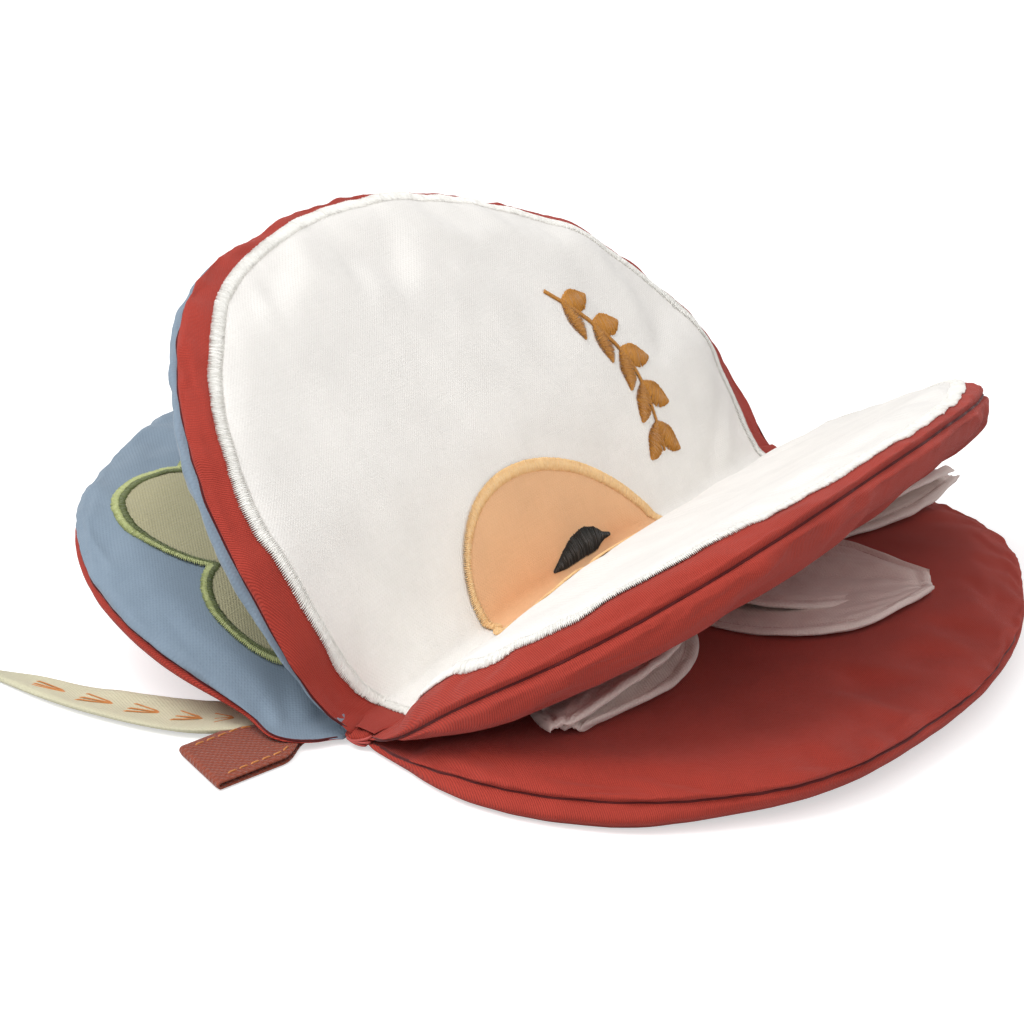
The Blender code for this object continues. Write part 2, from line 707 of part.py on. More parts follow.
def add_tape():
    """Canvas tape, folded double and sewn in at the stem end, with a topstitch along each edge."""
    line = tape_profile()
    step = np.gradient(line, axis=0)
    step /= np.linalg.norm(step, axis=1)[:, None]
    normal = np.column_stack((-step[:, 1], step[:, 0]))

    def place(station, across, outside):
        run, height = line[station] + normal[station] * TAPE_THICK * (outside - 0.5)
        return tape_place(run, across, height)

    root_height = TABLE_CLEAR + TAPE_ROOT_RISE + TAPE_THICK / 2 + TAPE_FOLD_RADIUS
    hinge = joint_empty("tape_root", tape_place(0.0, 0.0, root_height))
    add_piece("tape_loop", slab(range(len(line)), EDGE_SHARES, place), "tape_canvas", hinge)
    top = [(run, height) for run, height in line[-TAPE_STEPS - 1:] if run > TOPSTITCH_START]
    lift = TAPE_THICK / 2 + TOPSTITCH_GAP + TOPSTITCH_RADIUS
    inset = 1.0 - TOPSTITCH_INSET / TAPE_HALF_WIDTH
    path = [tape_place(run, -inset, height + lift) for run, height in reversed(top)]
    path += [tape_place(run, inset, height + lift) for run, height in top]
    add_piece("tape_topstitch", thread(path, TOPSTITCH_RADIUS), "orange_thread", hinge)


def stem_leaf_place(share, across, height):
    """A point over the cloth leaf's underside: share along it, across in shares of its half width."""
    line = np.array(STEM_LEAF_LINE)
    flat = smooth(line, share)
    run = smooth(line, share + SLOPE_STEP / REACH) - smooth(line, share - SLOPE_STEP / REACH)
    side = np.array((-run[1], run[0])) / np.linalg.norm(run)
    half = STEM_LEAF_HALF * smooth(STEM_LEAF_WIDTH_SHARES, share)
    flat = flat + across * half * side
    length = np.hypot(*np.diff(line, axis=0).T).sum()
    rise = STEM_LEAF_RISE * (1.0 - ease(share * length / STEM_LEAF_DROP))
    cup = STEM_LEAF_CUP * (half / STEM_LEAF_HALF) * across ** 2
    return Vector((AXIS_ACROSS + flat[0], flat[1] - SPINE_HALF, TABLE_CLEAR + rise + cup + height))


def add_stem_leaf():
    """Cloth leaf of two layers with stitched veins, sewn in beside the tape."""
    stations = len(STEM_LEAF_WIDTH_SHARES) - 1
    columns = [step / stations for step in range(stations + 1)]
    pitch = STEM_LEAF_CLOTH + SEAM_GAP
    hinge = joint_empty("stem_leaf_root", stem_leaf_place(0.0, 0.0, pitch - SEAM_GAP / 2))
    for level, name in enumerate(("stem_leaf_under", "stem_leaf_upper")):
        def place(column, row, upper, base=level * pitch):
            return stem_leaf_place(column, row, base + upper * STEM_LEAF_CLOTH)
        add_piece(name, slab(columns, ACROSS_SHARES, place), "leaf_cotton", hinge)
    over = pitch + STEM_LEAF_CLOTH + SEAM_GAP + VEIN_RADIUS
    low, high = VEIN_SHARES
    spans = [low + (high - low) * step / stations for step in range(stations + 1)]
    midrib = [stem_leaf_place(share, 0.0, over) for share in spans]
    veins = []
    for pair in range(VEIN_PAIRS):
        share = low + (high - low) * (pair + PAIR_START) / VEIN_PAIRS
        for hand in (-1, 1):
            marks = (0.0, VEIN_REACH_SHARE / 2, VEIN_REACH_SHARE)
            path = [stem_leaf_place(share + VEIN_LEAN_SHARE * mark, hand * mark, over) for mark in marks]
            veins.append(thread(path, VEIN_RADIUS * VEIN_THIN_SHARE))
    piece = add_piece("stem_leaf_veins", thread(midrib, VEIN_RADIUS), "orange_thread", hinge)
    sew_on(piece, veins)


def main():
    clear_scene()
    axis = Vector((AXIS_ACROSS, 0.0, AXIS_HEIGHT))
    right_cover = joint_empty("cover_right_axis", axis)
    right_leaf = joint_empty("leaf_right_axis", axis)
    left_leaf = joint_empty("leaf_left_axis", axis)
    left_cover = joint_empty("cover_left_axis", axis)
    add_roll(right_cover)
    add_spine_stitches("stem_stitches", -1, right_cover)
    add_spine_stitches("blossom_stitches", 1, right_cover)
    add_leaf(COVER_RIGHT, right_cover, ("inside", "red_twill"), ("outside", "red_twill"))
    add_leaf(LEAF_RIGHT, right_leaf, ("front", "red_twill"), ("back", "red_twill"))
    add_leaf(LEAF_LEFT, left_leaf, ("back", "blue_cotton"), ("front", "red_twill"))
    add_leaf(COVER_LEFT, left_cover, ("outside", "red_twill"), ("inside", "blue_cotton"))
    for leaf, face, body in ((LEAF_RIGHT, UPPER_FACE, right_leaf), (LEAF_LEFT, LOWER_FACE, left_leaf)):
        add_flesh(leaf, face, body)
        add_core(leaf, face, body)
    add_sprig(LEAF_LEFT, LOWER_FACE, left_leaf)
    add_bush(COVER_LEFT, LOWER_FACE, left_cover)
    for petal in PETALS:
        add_petal("petal_low_" + petal.name, petal, COVER_RIGHT, UPPER_FACE)
        add_petal("petal_high_" + petal.name, petal, LEAF_RIGHT, LOWER_FACE)
    add_tape()
    add_stem_leaf()


main()
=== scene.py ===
# %% [markdown]
# # A cloth baby book, opened like a fan
# Four padded leaves in the shape of a halved apple hang on one sewn spine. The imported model
# gives the place of every piece, so it is loaded first and never moved. Each soft piece is
# then made again here with its seams, stitches and folds, and takes the plain solid's place.

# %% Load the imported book
import math
from collections import namedtuple

import bpy
import numpy as np
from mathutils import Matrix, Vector, noise
from mathutils.bvhtree import BVHTree


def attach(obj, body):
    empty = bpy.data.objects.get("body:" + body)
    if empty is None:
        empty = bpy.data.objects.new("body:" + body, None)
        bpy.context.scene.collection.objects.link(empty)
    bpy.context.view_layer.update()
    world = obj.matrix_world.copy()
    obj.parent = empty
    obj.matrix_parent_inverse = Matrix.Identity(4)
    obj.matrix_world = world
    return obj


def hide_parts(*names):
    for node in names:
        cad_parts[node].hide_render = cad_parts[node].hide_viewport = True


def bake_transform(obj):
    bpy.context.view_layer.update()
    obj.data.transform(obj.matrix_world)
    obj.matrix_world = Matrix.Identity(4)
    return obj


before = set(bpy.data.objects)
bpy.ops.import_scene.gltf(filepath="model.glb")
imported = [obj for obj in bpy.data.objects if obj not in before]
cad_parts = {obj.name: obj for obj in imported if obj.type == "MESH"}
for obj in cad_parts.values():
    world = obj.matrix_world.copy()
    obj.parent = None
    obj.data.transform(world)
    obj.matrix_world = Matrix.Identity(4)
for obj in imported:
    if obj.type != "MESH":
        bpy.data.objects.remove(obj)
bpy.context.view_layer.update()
MM = 0.001

# %% [markdown]
# ## Camera
# The camera stands where the photograph was taken from: its place, aim and lens were worked
# out once from corners of the book, so both pictures can be laid over each other.

# %% Camera
CAMERA_PLACE = Vector((0.2736, -0.5288, 0.2446))
CAMERA_AIM = Vector((-0.487, 0.802, -0.345))
CAMERA_LENS, CAMERA_CLIP = 96.8, 0.01
camera_data = bpy.data.cameras.new("camera")
camera_data.lens = CAMERA_LENS
camera_data.clip_start = CAMERA_CLIP
camera = bpy.data.objects.new("camera", camera_data)
camera.location = CAMERA_PLACE
camera.rotation_mode = "QUATERNION"
camera.rotation_quaternion = CAMERA_AIM.to_track_quat("-Z", "Y")
bpy.context.scene.collection.objects.link(camera)
bpy.context.scene.camera = camera
bpy.context.scene.view_settings.view_transform = "Standard"
print("camera lens in mm:", CAMERA_LENS)

# %% [markdown]
# ## Small helpers for nodes and colours
# Colours are read off cloth as ordinary screen values, and Blender mixes light in linear
# values, so one helper turns the first into the second. Two more add nodes in one line.

# %% Colour and node helpers
def screen_colour(red, green, blue):
    """Linear colour of a screen colour given from 0 to 255."""
    shares = (value / 255 for value in (red, green, blue))
    linear = [s / 12.92 if s <= 0.04045 else ((s + 0.055) / 1.055) ** 2.4 for s in shares]
    return (*linear, 1.0)


def put(tree, kind, sockets=(), **settings):
    """Add a shader node; sockets gives an input's value, or the output that feeds it."""
    item = tree.nodes.new("ShaderNode" + kind)
    for name, value in settings.items():
        setattr(item, name, value)
    for name, value in dict(sockets).items():
        if isinstance(value, bpy.types.NodeSocket):
            tree.links.new(value, item.inputs[name])
        else:
            item.inputs[name].default_value = value
    return item


def calc(tree, operation, *values):
    return put(tree, "Math", enumerate(values), operation=operation).outputs[0]


def mixed(tree, share, first, second, blend="MIX"):
    item = put(tree, "Mix", {0: share, 6: first, 7: second}, data_type="RGBA", blend_type=blend)
    return item.outputs[2]


def new_group(name, inputs, outputs):
    """An empty node group with named sockets, and its input and output nodes."""
    tree = bpy.data.node_groups.new(name, "ShaderNodeTree")
    for label, kind, value in inputs:
        socket = tree.interface.new_socket(label, in_out="INPUT", socket_type="NodeSocket" + kind)
        if value is not None:
            socket.default_value = value
    for label, kind in outputs:
        tree.interface.new_socket(label, in_out="OUTPUT", socket_type="NodeSocket" + kind)
    return tree, tree.nodes.new("NodeGroupInput"), tree.nodes.new("NodeGroupOutput")

# %% [markdown]
# ## Light and table
# The real book lies on white paper between large soft lamps. The sky and the table are white
# to the camera, but dimmer to the cloth, or the pale page would lose its folds.

# %% Light, table and sky
SKY_POWER = 0.59
LAMPS = (
    ("key_lamp", (-0.4, -0.55, 1.0), 0.7, 8.2),
    ("fill_lamp", (0.4, -0.7, 1.0), 0.9, 4.3),
)
WHITE = (1.0, 1.0, 1.0, 1.0)
TABLE_GREY = (0.7, 0.7, 0.7, 1.0)
TABLE_SIZE, TABLE_GLOW = 6.0, 0.55


def plain_world():
    """White to the camera and to gloss, and a soft even light on the cloth."""
    world = bpy.data.worlds.new("studio")
    bpy.context.scene.world = world
    world.use_nodes = True
    tree = world.node_tree
    path = put(tree, "LightPath")
    seen = calc(tree, "MAXIMUM", path.outputs["Is Camera Ray"], path.outputs["Is Glossy Ray"])
    tree.nodes["Background"].inputs["Color"].default_value = WHITE
    power = calc(tree, "ADD", SKY_POWER, calc(tree, "MULTIPLY", seen, 1.0 - SKY_POWER))
    tree.links.new(power, tree.nodes["Background"].inputs["Strength"])


def soft_lamp(name, place, size, watts):
    bpy.ops.object.light_add(type="AREA", location=place)
    lamp = bpy.context.object
    lamp.name = name
    lamp.data.size = size
    lamp.data.energy = watts
    lamp.rotation_mode = "QUATERNION"
    lamp.rotation_quaternion = (-Vector(place)).to_track_quat("-Z", "Y")


def white_table():
    """A plain table that reads white to the camera and keeps a faint shadow."""
    bpy.ops.mesh.primitive_grid_add(x_subdivisions=2, y_subdivisions=2, size=TABLE_SIZE, location=(0, 0, 0))
    table = bpy.context.object
    table.name = "table"
    material = bpy.data.materials.new("white_table")
    material.use_nodes = True
    tree = material.node_tree
    shader = tree.nodes["Principled BSDF"]
    shader.inputs["Base Color"].default_value = TABLE_GREY
    shader.inputs["Roughness"].default_value = 0.9
    shader.inputs["Specular IOR Level"].default_value = 0.1
    seen = put(tree, "LightPath").outputs["Is Camera Ray"]
    shader.inputs["Emission Color"].default_value = WHITE
    tree.links.new(calc(tree, "MULTIPLY", seen, TABLE_GLOW), shader.inputs["Emission Strength"])
    table.data.materials.append(material)


plain_world()
for lamp in LAMPS:
    soft_lamp(*lamp)
white_table()
print("lamps:", [lamp[0] for lamp in LAMPS])


# %% [markdown]
# ## The cloths
# Red twill shows fine slanting ribs; the blue, white and peach cottons are plain woven, with
# uneven threads. Both patterns follow the cloth, so they read a UV map laid out in
# centimetres. Embroidery thread is a tube of its own, and only needs fine strands and sheen.

# %% Weaves as node groups
def faded(tree, colour, place, scale, low, high):
    """A colour times slow noise between two shares, as dye fades in patches."""
    patch = put(tree, "TexNoise", {"Vector": place, "Scale": scale, "Detail": 3.0}).outputs[0]
    tone = put(tree, "MapRange", {"Value": patch, "From Min": 0.3, "From Max": 0.7,
                                  "To Min": low, "To Max": high}).outputs[0]
    grey = put(tree, "CombineXYZ", {0: tone, 1: tone, 2: tone}).outputs[0]
    return put(tree, "VectorMath", {0: colour, 1: grey}, operation="MULTIPLY").outputs[0]


def twill_group():
    """Slanting ribs with lint between them, over slow fading of the dye; the Furrow colour between the ribs
    is painted shade.
    """
    tree, taken, given = new_group(
        "twill_weave",
        [("Place", "Vector", None), ("Rib", "Color", None), ("Furrow", "Color", None),
         ("Ribs per cm", "Float", 12.0)],
        [("Color", "Color"), ("Height", "Float")])
    place = taken.outputs["Place"]
    axes = put(tree, "SeparateXYZ", {0: place})
    drift = put(tree, "TexNoise", {"Vector": place, "Scale": 1.3, "Detail": 2.0}).outputs[0]
    slant = calc(tree, "ADD", calc(tree, "MULTIPLY", axes.outputs[0], 1.35), axes.outputs[1])
    slant = calc(tree, "ADD", slant, calc(tree, "MULTIPLY", drift, 0.12))
    turns = calc(tree, "MULTIPLY", calc(tree, "MULTIPLY", slant, taken.outputs["Ribs per cm"]), math.pi)
    rib = calc(tree, "ABSOLUTE", calc(tree, "SINE", turns))
    cross = calc(tree, "SUBTRACT", axes.outputs[0], axes.outputs[1])
    beads = calc(tree, "ABSOLUTE", calc(tree, "SINE", calc(tree, "MULTIPLY", cross, 62.0)))
    lint = put(tree, "TexNoise", {"Vector": place, "Scale": 38.0, "Detail": 3.0}).outputs[0]
    share = calc(tree, "ADD", calc(tree, "MULTIPLY", rib, 0.72), calc(tree, "MULTIPLY", lint, 0.5))
    # painted shade: the Furrow colour fills the low places between the ribs
    body = mixed(tree, share, taken.outputs["Furrow"], taken.outputs["Rib"])
    tree.links.new(faded(tree, body, place, 0.55, 0.9, 1.08), given.inputs["Color"])
    height = calc(tree, "ADD", rib, calc(tree, "MULTIPLY", beads, 0.3))
    tree.links.new(calc(tree, "ADD", height, calc(tree, "MULTIPLY", lint, 0.5)), given.inputs["Height"])
    return tree


def plain_weave_group():
    """Over and under threads with thick places, and soft crumples; the Shade colour falls where threads dip
    and thin, partly painted shade and partly the threads' own uneven tone.
    """
    tree, taken, given = new_group(
        "plain_weave",
        [("Place", "Vector", None), ("Thread", "Color", None), ("Shade", "Color", None),
         ("Threads per cm", "Float", 22.0), ("Unevenness", "Float", 0.5)],
        [("Color", "Color"), ("Height", "Float")])
    place = taken.outputs["Place"]
    axes = put(tree, "SeparateXYZ", {0: place})
    pitch = calc(tree, "MULTIPLY", taken.outputs["Threads per cm"], math.pi)
    warp = calc(tree, "SINE", calc(tree, "MULTIPLY", axes.outputs[0], pitch))
    weft = calc(tree, "SINE", calc(tree, "MULTIPLY", axes.outputs[1], pitch))
    check = calc(tree, "MULTIPLY", warp, weft)
    slubs = []
    for stretch in ((1.6, 30.0, 1.0), (30.0, 1.6, 1.0)):
        long_way = put(tree, "VectorMath", {0: place, 1: stretch}, operation="MULTIPLY").outputs[0]
        slubs.append(put(tree, "TexNoise", {"Vector": long_way, "Scale": 1.0, "Detail": 2.0}).outputs[0])
    slub = calc(tree, "ADD", slubs[0], slubs[1])
    uneven = calc(tree, "MULTIPLY", calc(tree, "SUBTRACT", slub, 1.0), taken.outputs["Unevenness"])
    share = calc(tree, "ADD", calc(tree, "MULTIPLY", check, 0.12), calc(tree, "ADD", uneven, 0.72))
    # partly painted shade where the threads dip, partly the real uneven tone of thin and thick threads
    body = mixed(tree, share, taken.outputs["Shade"], taken.outputs["Thread"])
    tree.links.new(faded(tree, body, place, 0.6, 0.95, 1.03), given.inputs["Color"])
    height = calc(tree, "ADD", calc(tree, "MULTIPLY", check, 0.5), calc(tree, "MULTIPLY", slub, 1.4))
    tree.links.new(height, given.inputs["Height"])
    return tree


def strand_group():
    """Fine fibres of a thread: light and dark streaks that change along it; the dark streaks follow the low
    fibres as painted shade, over patches of the thread's own uneven tone.
    """
    tree, taken, given = new_group(
        "thread_strands",
        [("Place", "Vector", None), ("Light", "Color", None), ("Dark", "Color", None)],
        [("Color", "Color"), ("Height", "Float")])
    place = taken.outputs["Place"]
    fibre = put(tree, "TexNoise", {"Vector": place, "Scale": 2600.0, "Detail": 2.0}).outputs[0]
    patch = put(tree, "TexNoise", {"Vector": place, "Scale": 260.0, "Detail": 2.0}).outputs[0]
    share = calc(tree, "ADD", calc(tree, "MULTIPLY", fibre, 0.6), calc(tree, "MULTIPLY", patch, 0.5))
    # painted shade: the dark colour goes where the fibres lie low
    tree.links.new(mixed(tree, share, taken.outputs["Dark"], taken.outputs["Light"]), given.inputs["Color"])
    tree.links.new(fibre, given.inputs["Height"])
    return tree


TWILL, PLAIN, STRANDS = twill_group(), plain_weave_group(), strand_group()
UV_NAME = "cloth"
print("weaves:", TWILL.name, PLAIN.name, STRANDS.name)


# %% [markdown]
# ## Materials of the book
# Each cloth and thread has a light colour for what stands up and a dark one for what lies
# deep, where the dark colour is painted shade. The relief is real height, so a coarse canvas gets more of it
# than a brushed cotton.

# %% Materials
THREAD_BUMP = 0.03 * MM


def cloth_material(name, group, light, dark, sheen=0.25, bump=0.12 * MM, roughness=0.85, **knobs):
    """A material whose weave group reads the cloth's own UV map; thread reads the object."""
    material = bpy.data.materials.new(name)
    material.use_nodes = True
    tree = material.node_tree
    shader = tree.nodes["Principled BSDF"]
    if group is STRANDS:
        place = put(tree, "TexCoord").outputs["Object"]
    else:
        place = put(tree, "UVMap", uv_map=UV_NAME).outputs[0]
    weave = put(tree, "Group", node_tree=group)
    tree.links.new(place, weave.inputs["Place"])
    # the second colour is painted shade for the weave's low places
    for socket, colour in zip(list(weave.inputs)[1:3], (light, dark)):
        socket.default_value = screen_colour(*colour)
    for label, value in knobs.items():
        weave.inputs[label.replace("_", " ")].default_value = value
    relief = put(tree, "Bump", {"Height": weave.outputs["Height"], "Strength": 1.0, "Distance": bump})
    tree.links.new(weave.outputs["Color"], shader.inputs["Base Color"])
    tree.links.new(relief.outputs["Normal"], shader.inputs["Normal"])
    shader.inputs["Roughness"].default_value = roughness
    shader.inputs["Specular IOR Level"].default_value = 0.25
    shader.inputs["Sheen Weight"].default_value = sheen
    shader.inputs["Sheen Roughness"].default_value = 0.4
    return material


def thread_material(name, light, dark, roughness=0.5):
    return cloth_material(name, STRANDS, light, dark, bump=THREAD_BUMP, roughness=roughness)


RED_TWILL = cloth_material("red_twill_cloth", TWILL, (178, 64, 51), (136, 43, 35),
                           sheen=0.08, bump=0.1 * MM, Ribs_per_cm=16.0)
BLUE_COTTON = cloth_material("blue_brushed_cotton", PLAIN, (131, 147, 162), (116, 132, 149), bump=0.05 * MM)
WHITE_COTTON = cloth_material("white_cotton_page", PLAIN, (243, 240, 236), (228, 224, 218), bump=0.06 * MM)
PEACH_COTTON = cloth_material("peach_cotton_core", PLAIN, (238, 190, 146), (220, 170, 124), bump=0.06 * MM)
GREEN_COTTON = cloth_material("green_cotton_bush", PLAIN, (184, 177, 142), (158, 151, 116))
PETAL_COTTON = cloth_material("petal_muslin", PLAIN, (236, 220, 213), (212, 190, 183), bump=0.08 * MM)
LEAF_COTTON = cloth_material("leaf_muslin", PLAIN, (216, 212, 184), (190, 186, 154), bump=0.1 * MM)
TAPE_CANVAS = cloth_material("tape_canvas_weave", PLAIN, (150, 72, 50), (110, 48, 34),
                             bump=0.2 * MM, Threads_per_cm=13.0)
WHITE_THREAD = thread_material("white_satin_thread", (248, 247, 243), (222, 219, 212))
PEACH_THREAD = thread_material("peach_satin_thread", (250, 218, 166), (222, 178, 122))
PIP_THREAD = thread_material("pip_satin_thread", (58, 58, 56), (26, 26, 26))
OCHRE_THREAD = thread_material("ochre_satin_thread", (206, 146, 62), (158, 100, 34))
GREEN_THREAD = thread_material("green_satin_thread", (204, 208, 150), (158, 168, 108))
DARK_GREEN_THREAD = thread_material("dark_green_satin_thread", (122, 130, 86), (82, 92, 52))
ORANGE_THREAD = thread_material("orange_topstitch_thread", (214, 144, 82), (176, 108, 56), roughness=0.6)
# the pink light colour of the red thread is partly painted highlight
RED_THREAD = thread_material("red_hand_thread", (206, 98, 90), (140, 44, 40), roughness=0.45)
PETAL_THREAD = thread_material("petal_topstitch_thread", (222, 198, 192), (190, 160, 154), roughness=0.6)
# painted shadow: a dark tube that stands in for the shade deep in the seam groove
SEAM_PAINTED_SHADOW = thread_material("seam_groove_painted_shadow", (96, 26, 26), (60, 14, 16), roughness=0.8)
print("materials:", len(bpy.data.materials))


# %% [markdown]
# ## The shape that all four leaves share
# Every leaf is the same half apple. A place on a leaf is given as along the spine, out from
# the spine and height off the leaf's middle, and one function bends that flat place into the
# opened book. Spine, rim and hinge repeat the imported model; the fuller places, the steep wall
# and the pressed stem end are this scene's own.

# %% Half apple outline and the bend of each leaf
SPINE_HALF = 98.0 * MM
REACH = 104.6 * MM
RIM_SHARES = (1.0, 1.21, 1.235, 1.09, 1.0, 0.972, 1.005, 1.003, 1.0)
RIM_STEPS = 144
CORNER_SHARES = (0.24, 0.74)
HALF_THICK = 6.5 * MM
SPINE_EDGE = 0.8 * MM
RIM_ROUND, WALL_ROUND, BACK_ROUND = 12.0 * MM, 3.0 * MM, 8.0 * MM
WALL_END, WALL_GONE = 62.0 * MM, 92.0 * MM
AXIS = np.array((-25.0 * MM, 0.0, 5.5 * MM))
CURL_SPAN = 140.0 * MM
UPPER_FACE, LOWER_FACE = 1, -1
FULL_OUT, LATE_FULL_OUT = {("leaf_right", UPPER_FACE): 26.0 * MM}, 44.0 * MM
FULL_HEIGHT = {("cover_right", UPPER_FACE): 4.5 * MM, ("leaf_right", LOWER_FACE): 7.2 * MM}
CREST, CREST_OUT, CREST_SPAN = 0.4 * MM, 26.0 * MM, 13.0 * MM

Leaf = namedtuple("Leaf", "name angle curl lift start outer_face outer_edge")
COVER_RIGHT = Leaf("cover_right", 0.0, math.radians(5.1) / CURL_SPAN, -0.7 * MM,
                   2.8 * MM, LOWER_FACE, 4.8 * MM)
LEAF_RIGHT = Leaf("leaf_right", math.radians(23.25), math.radians(20.8) / CURL_SPAN, 0.6 * MM,
                  2.7 * MM, 0, 0.0)
LEAF_LEFT = Leaf("leaf_left", math.radians(120.6), math.radians(17.5) / CURL_SPAN, 0.4 * MM,
                 2.7 * MM, 0, 0.0)
COVER_LEFT = Leaf("cover_left", math.radians(161.1), 0.0, -2.8 * MM, 3.4 * MM, UPPER_FACE, 4.0 * MM)
LEAVES = (COVER_RIGHT, LEAF_RIGHT, LEAF_LEFT, COVER_LEFT)
print("leaves:", [leaf.name for leaf in LEAVES])


# %% Curves through a few values
def smooth(values, share):
    """Smooth curve through evenly spaced values, at shares from 0 to 1."""
    values = np.asarray(values, dtype=float)
    padded = np.concatenate((2 * values[:1] - values[1:2], values, 2 * values[-1:] - values[-2:-1]))
    place = np.clip(np.asarray(share, dtype=float), 0.0, 1.0) * (len(values) - 1)
    low = np.minimum(place.astype(int), len(values) - 2)
    part = place - low
    if values.ndim > 1:
        part = part[..., None]
    before, start, end, after = (padded[low + step] for step in range(4))
    return start + 0.5 * part * (end - before + part * (
        2 * before - 5 * start + 4 * end - after + part * (3 * (start - end) + after - before)))


def ease(share):
    share = np.clip(share, 0.0, 1.0)
    return share * share * (3.0 - 2.0 * share)


def hill(far, span):
    """A smooth hill of height 1 that falls away on both sides of zero."""
    return np.exp(-(far / span) ** 2)


def lengths(line):
    """Distance along a line at each of its points."""
    return np.concatenate(((0.0,), np.cumsum(np.linalg.norm(np.diff(line, axis=0), axis=1))))


def points_at(line, length, at):
    """Points of a line at some distances along it."""
    return np.stack([np.interp(at, length, line[:, axis]) for axis in range(line.shape[1])], axis=-1)


def left_of(line):
    """Unit vectors that point to the left of a flat line."""
    step = np.gradient(line, axis=0)
    step /= np.linalg.norm(step, axis=1)[:, None]
    return np.column_stack((-step[:, 1], step[:, 0]))


# %% Bending a flat leaf into the book
STEM_SINK, SINK_SPAN, SINK_REACH = 0.62, 78.0 * MM, 22.0 * MM
LEFT_SINK_REACH = 30.0 * MM


def sunk(place, reach=SINK_REACH):
    """Press the stem end of the spine down to the table, where the leaves are pinched thin."""
    near = 1.0 - ease((place[..., 1] + SPINE_HALF) / SINK_SPAN)
    far = np.hypot(place[..., 0] - AXIS[0], place[..., 2] - AXIS[2])
    pressed = np.array(place)
    pressed[..., 2] *= 1.0 - STEM_SINK * near * hill(far, reach)
    return pressed


def bent(leaf, along, out, height):
    """Places in the opened book of flat places on a leaf, as rows of x, y, z."""
    reach = LEFT_SINK_REACH if leaf is COVER_LEFT else SINK_REACH
    return sunk(bent_freely(leaf, along, out, height), reach)


def bent_freely(leaf, along, out, height):
    along, out, height = np.broadcast_arrays(*(np.asarray(v, dtype=float) for v in (along, out, height)))
    half_turn = leaf.curl * out / 2
    chord = out * np.sinc(half_turn / math.pi)
    bearing, normal = leaf.angle + half_turn, leaf.angle + leaf.curl * out
    return np.stack((AXIS[0] + chord * np.cos(bearing) - height * np.sin(normal), along,
                     AXIS[2] + leaf.lift + chord * np.sin(bearing) + height * np.cos(normal)), axis=-1)

# %% Rim of the half apple
def rim_line(inset=0.0, start=0.0):
    """The rim from the stem end to the blossom end, as rows of along and out; the inset is
    one length, or several that follow each other along the rim."""
    bow = np.linspace(math.pi, 0.0, RIM_STEPS + 1)
    swell = smooth(RIM_SHARES, 1.0 - bow / math.pi)
    line = np.column_stack((SPINE_HALF * swell * np.cos(bow), REACH * swell * np.sin(bow)))
    if np.ndim(inset):
        inset = smooth(inset, 1.0 - bow / math.pi)
    line = line - np.reshape(inset, (-1, 1)) * left_of(line)
    if start <= 0.0 and np.max(inset) <= 0.0:
        return line
    kept = np.nonzero(line[:, 1] > max(start, 0.0))[0]
    first = np.interp(start, line[:kept[0] + 1, 1], line[:kept[0] + 1, 0])
    last = np.interp(start, line[kept[-1]:, 1][::-1], line[kept[-1]:, 0][::-1])
    return np.vstack(((first, start), line[kept], (last, start)))


FULL_RIM = rim_line()
RIM_RUN = np.diff(FULL_RIM, axis=0)
RIM_LENGTH = lengths(FULL_RIM)
print("rim length in mm:", round(RIM_LENGTH[-1] / MM, 1))


def rim_frame(along, out):
    """Of points: depth inside the rim, distance along the rim, and the way in."""
    offset = np.column_stack((along, out))[:, None, :] - FULL_RIM[None, :-1, :]
    share = np.clip((offset * RIM_RUN).sum(2) / (RIM_RUN * RIM_RUN).sum(1), 0.0, 1.0)
    gap = offset - share[..., None] * RIM_RUN
    distance = np.hypot(gap[..., 0], gap[..., 1])
    nearest = distance.argmin(axis=1)
    pick = np.arange(len(nearest))
    run = RIM_RUN[nearest]
    inward = np.column_stack((run[:, 1], -run[:, 0])) / np.linalg.norm(run, axis=1)[:, None]
    inside = (gap[pick, nearest] * inward).sum(1) > 0
    arc = RIM_LENGTH[nearest] + share[pick, nearest] * np.linalg.norm(run, axis=1)
    return np.where(inside, distance[pick, nearest], 0.0), arc, inward


def line_at(line, share):
    length = lengths(line)
    return points_at(line, length, np.asarray(share) * length[-1])


def quilt(line, column, row):
    """Flat places of a grid that fills the half apple inside a rim line."""
    low, high = CORNER_SHARES
    column, row = np.asarray(column)[:, None], np.asarray(row)[:, None]
    top = line_at(line, low + (high - low) * column[:, 0])
    left = line_at(line, low * row[:, 0])
    right = line_at(line, 1.0 + (high - 1.0) * row[:, 0])
    corners = line_at(line, np.array((low, high)))
    high_edge = corners[0] + (corners[1] - corners[0]) * column
    return row * top + left + (right - left) * column - row * high_edge

# %% Height of a leaf's faces
def crown(leaf, face, out):
    """Height of a face away from the rim: it rises from the spine to the full padding."""
    edge = leaf.outer_edge if face == leaf.outer_face else SPINE_EDGE
    full = FULL_OUT.get((leaf.name, face), LATE_FULL_OUT)
    height = FULL_HEIGHT.get((leaf.name, face), HALF_THICK)
    rise = edge + (height - edge) * ease((out - leaf.start) / (full - leaf.start))
    if (leaf.name, face) == ("leaf_right", UPPER_FACE):
        rise = rise + CREST * hill(out - CREST_OUT, CREST_SPAN)
    return rise


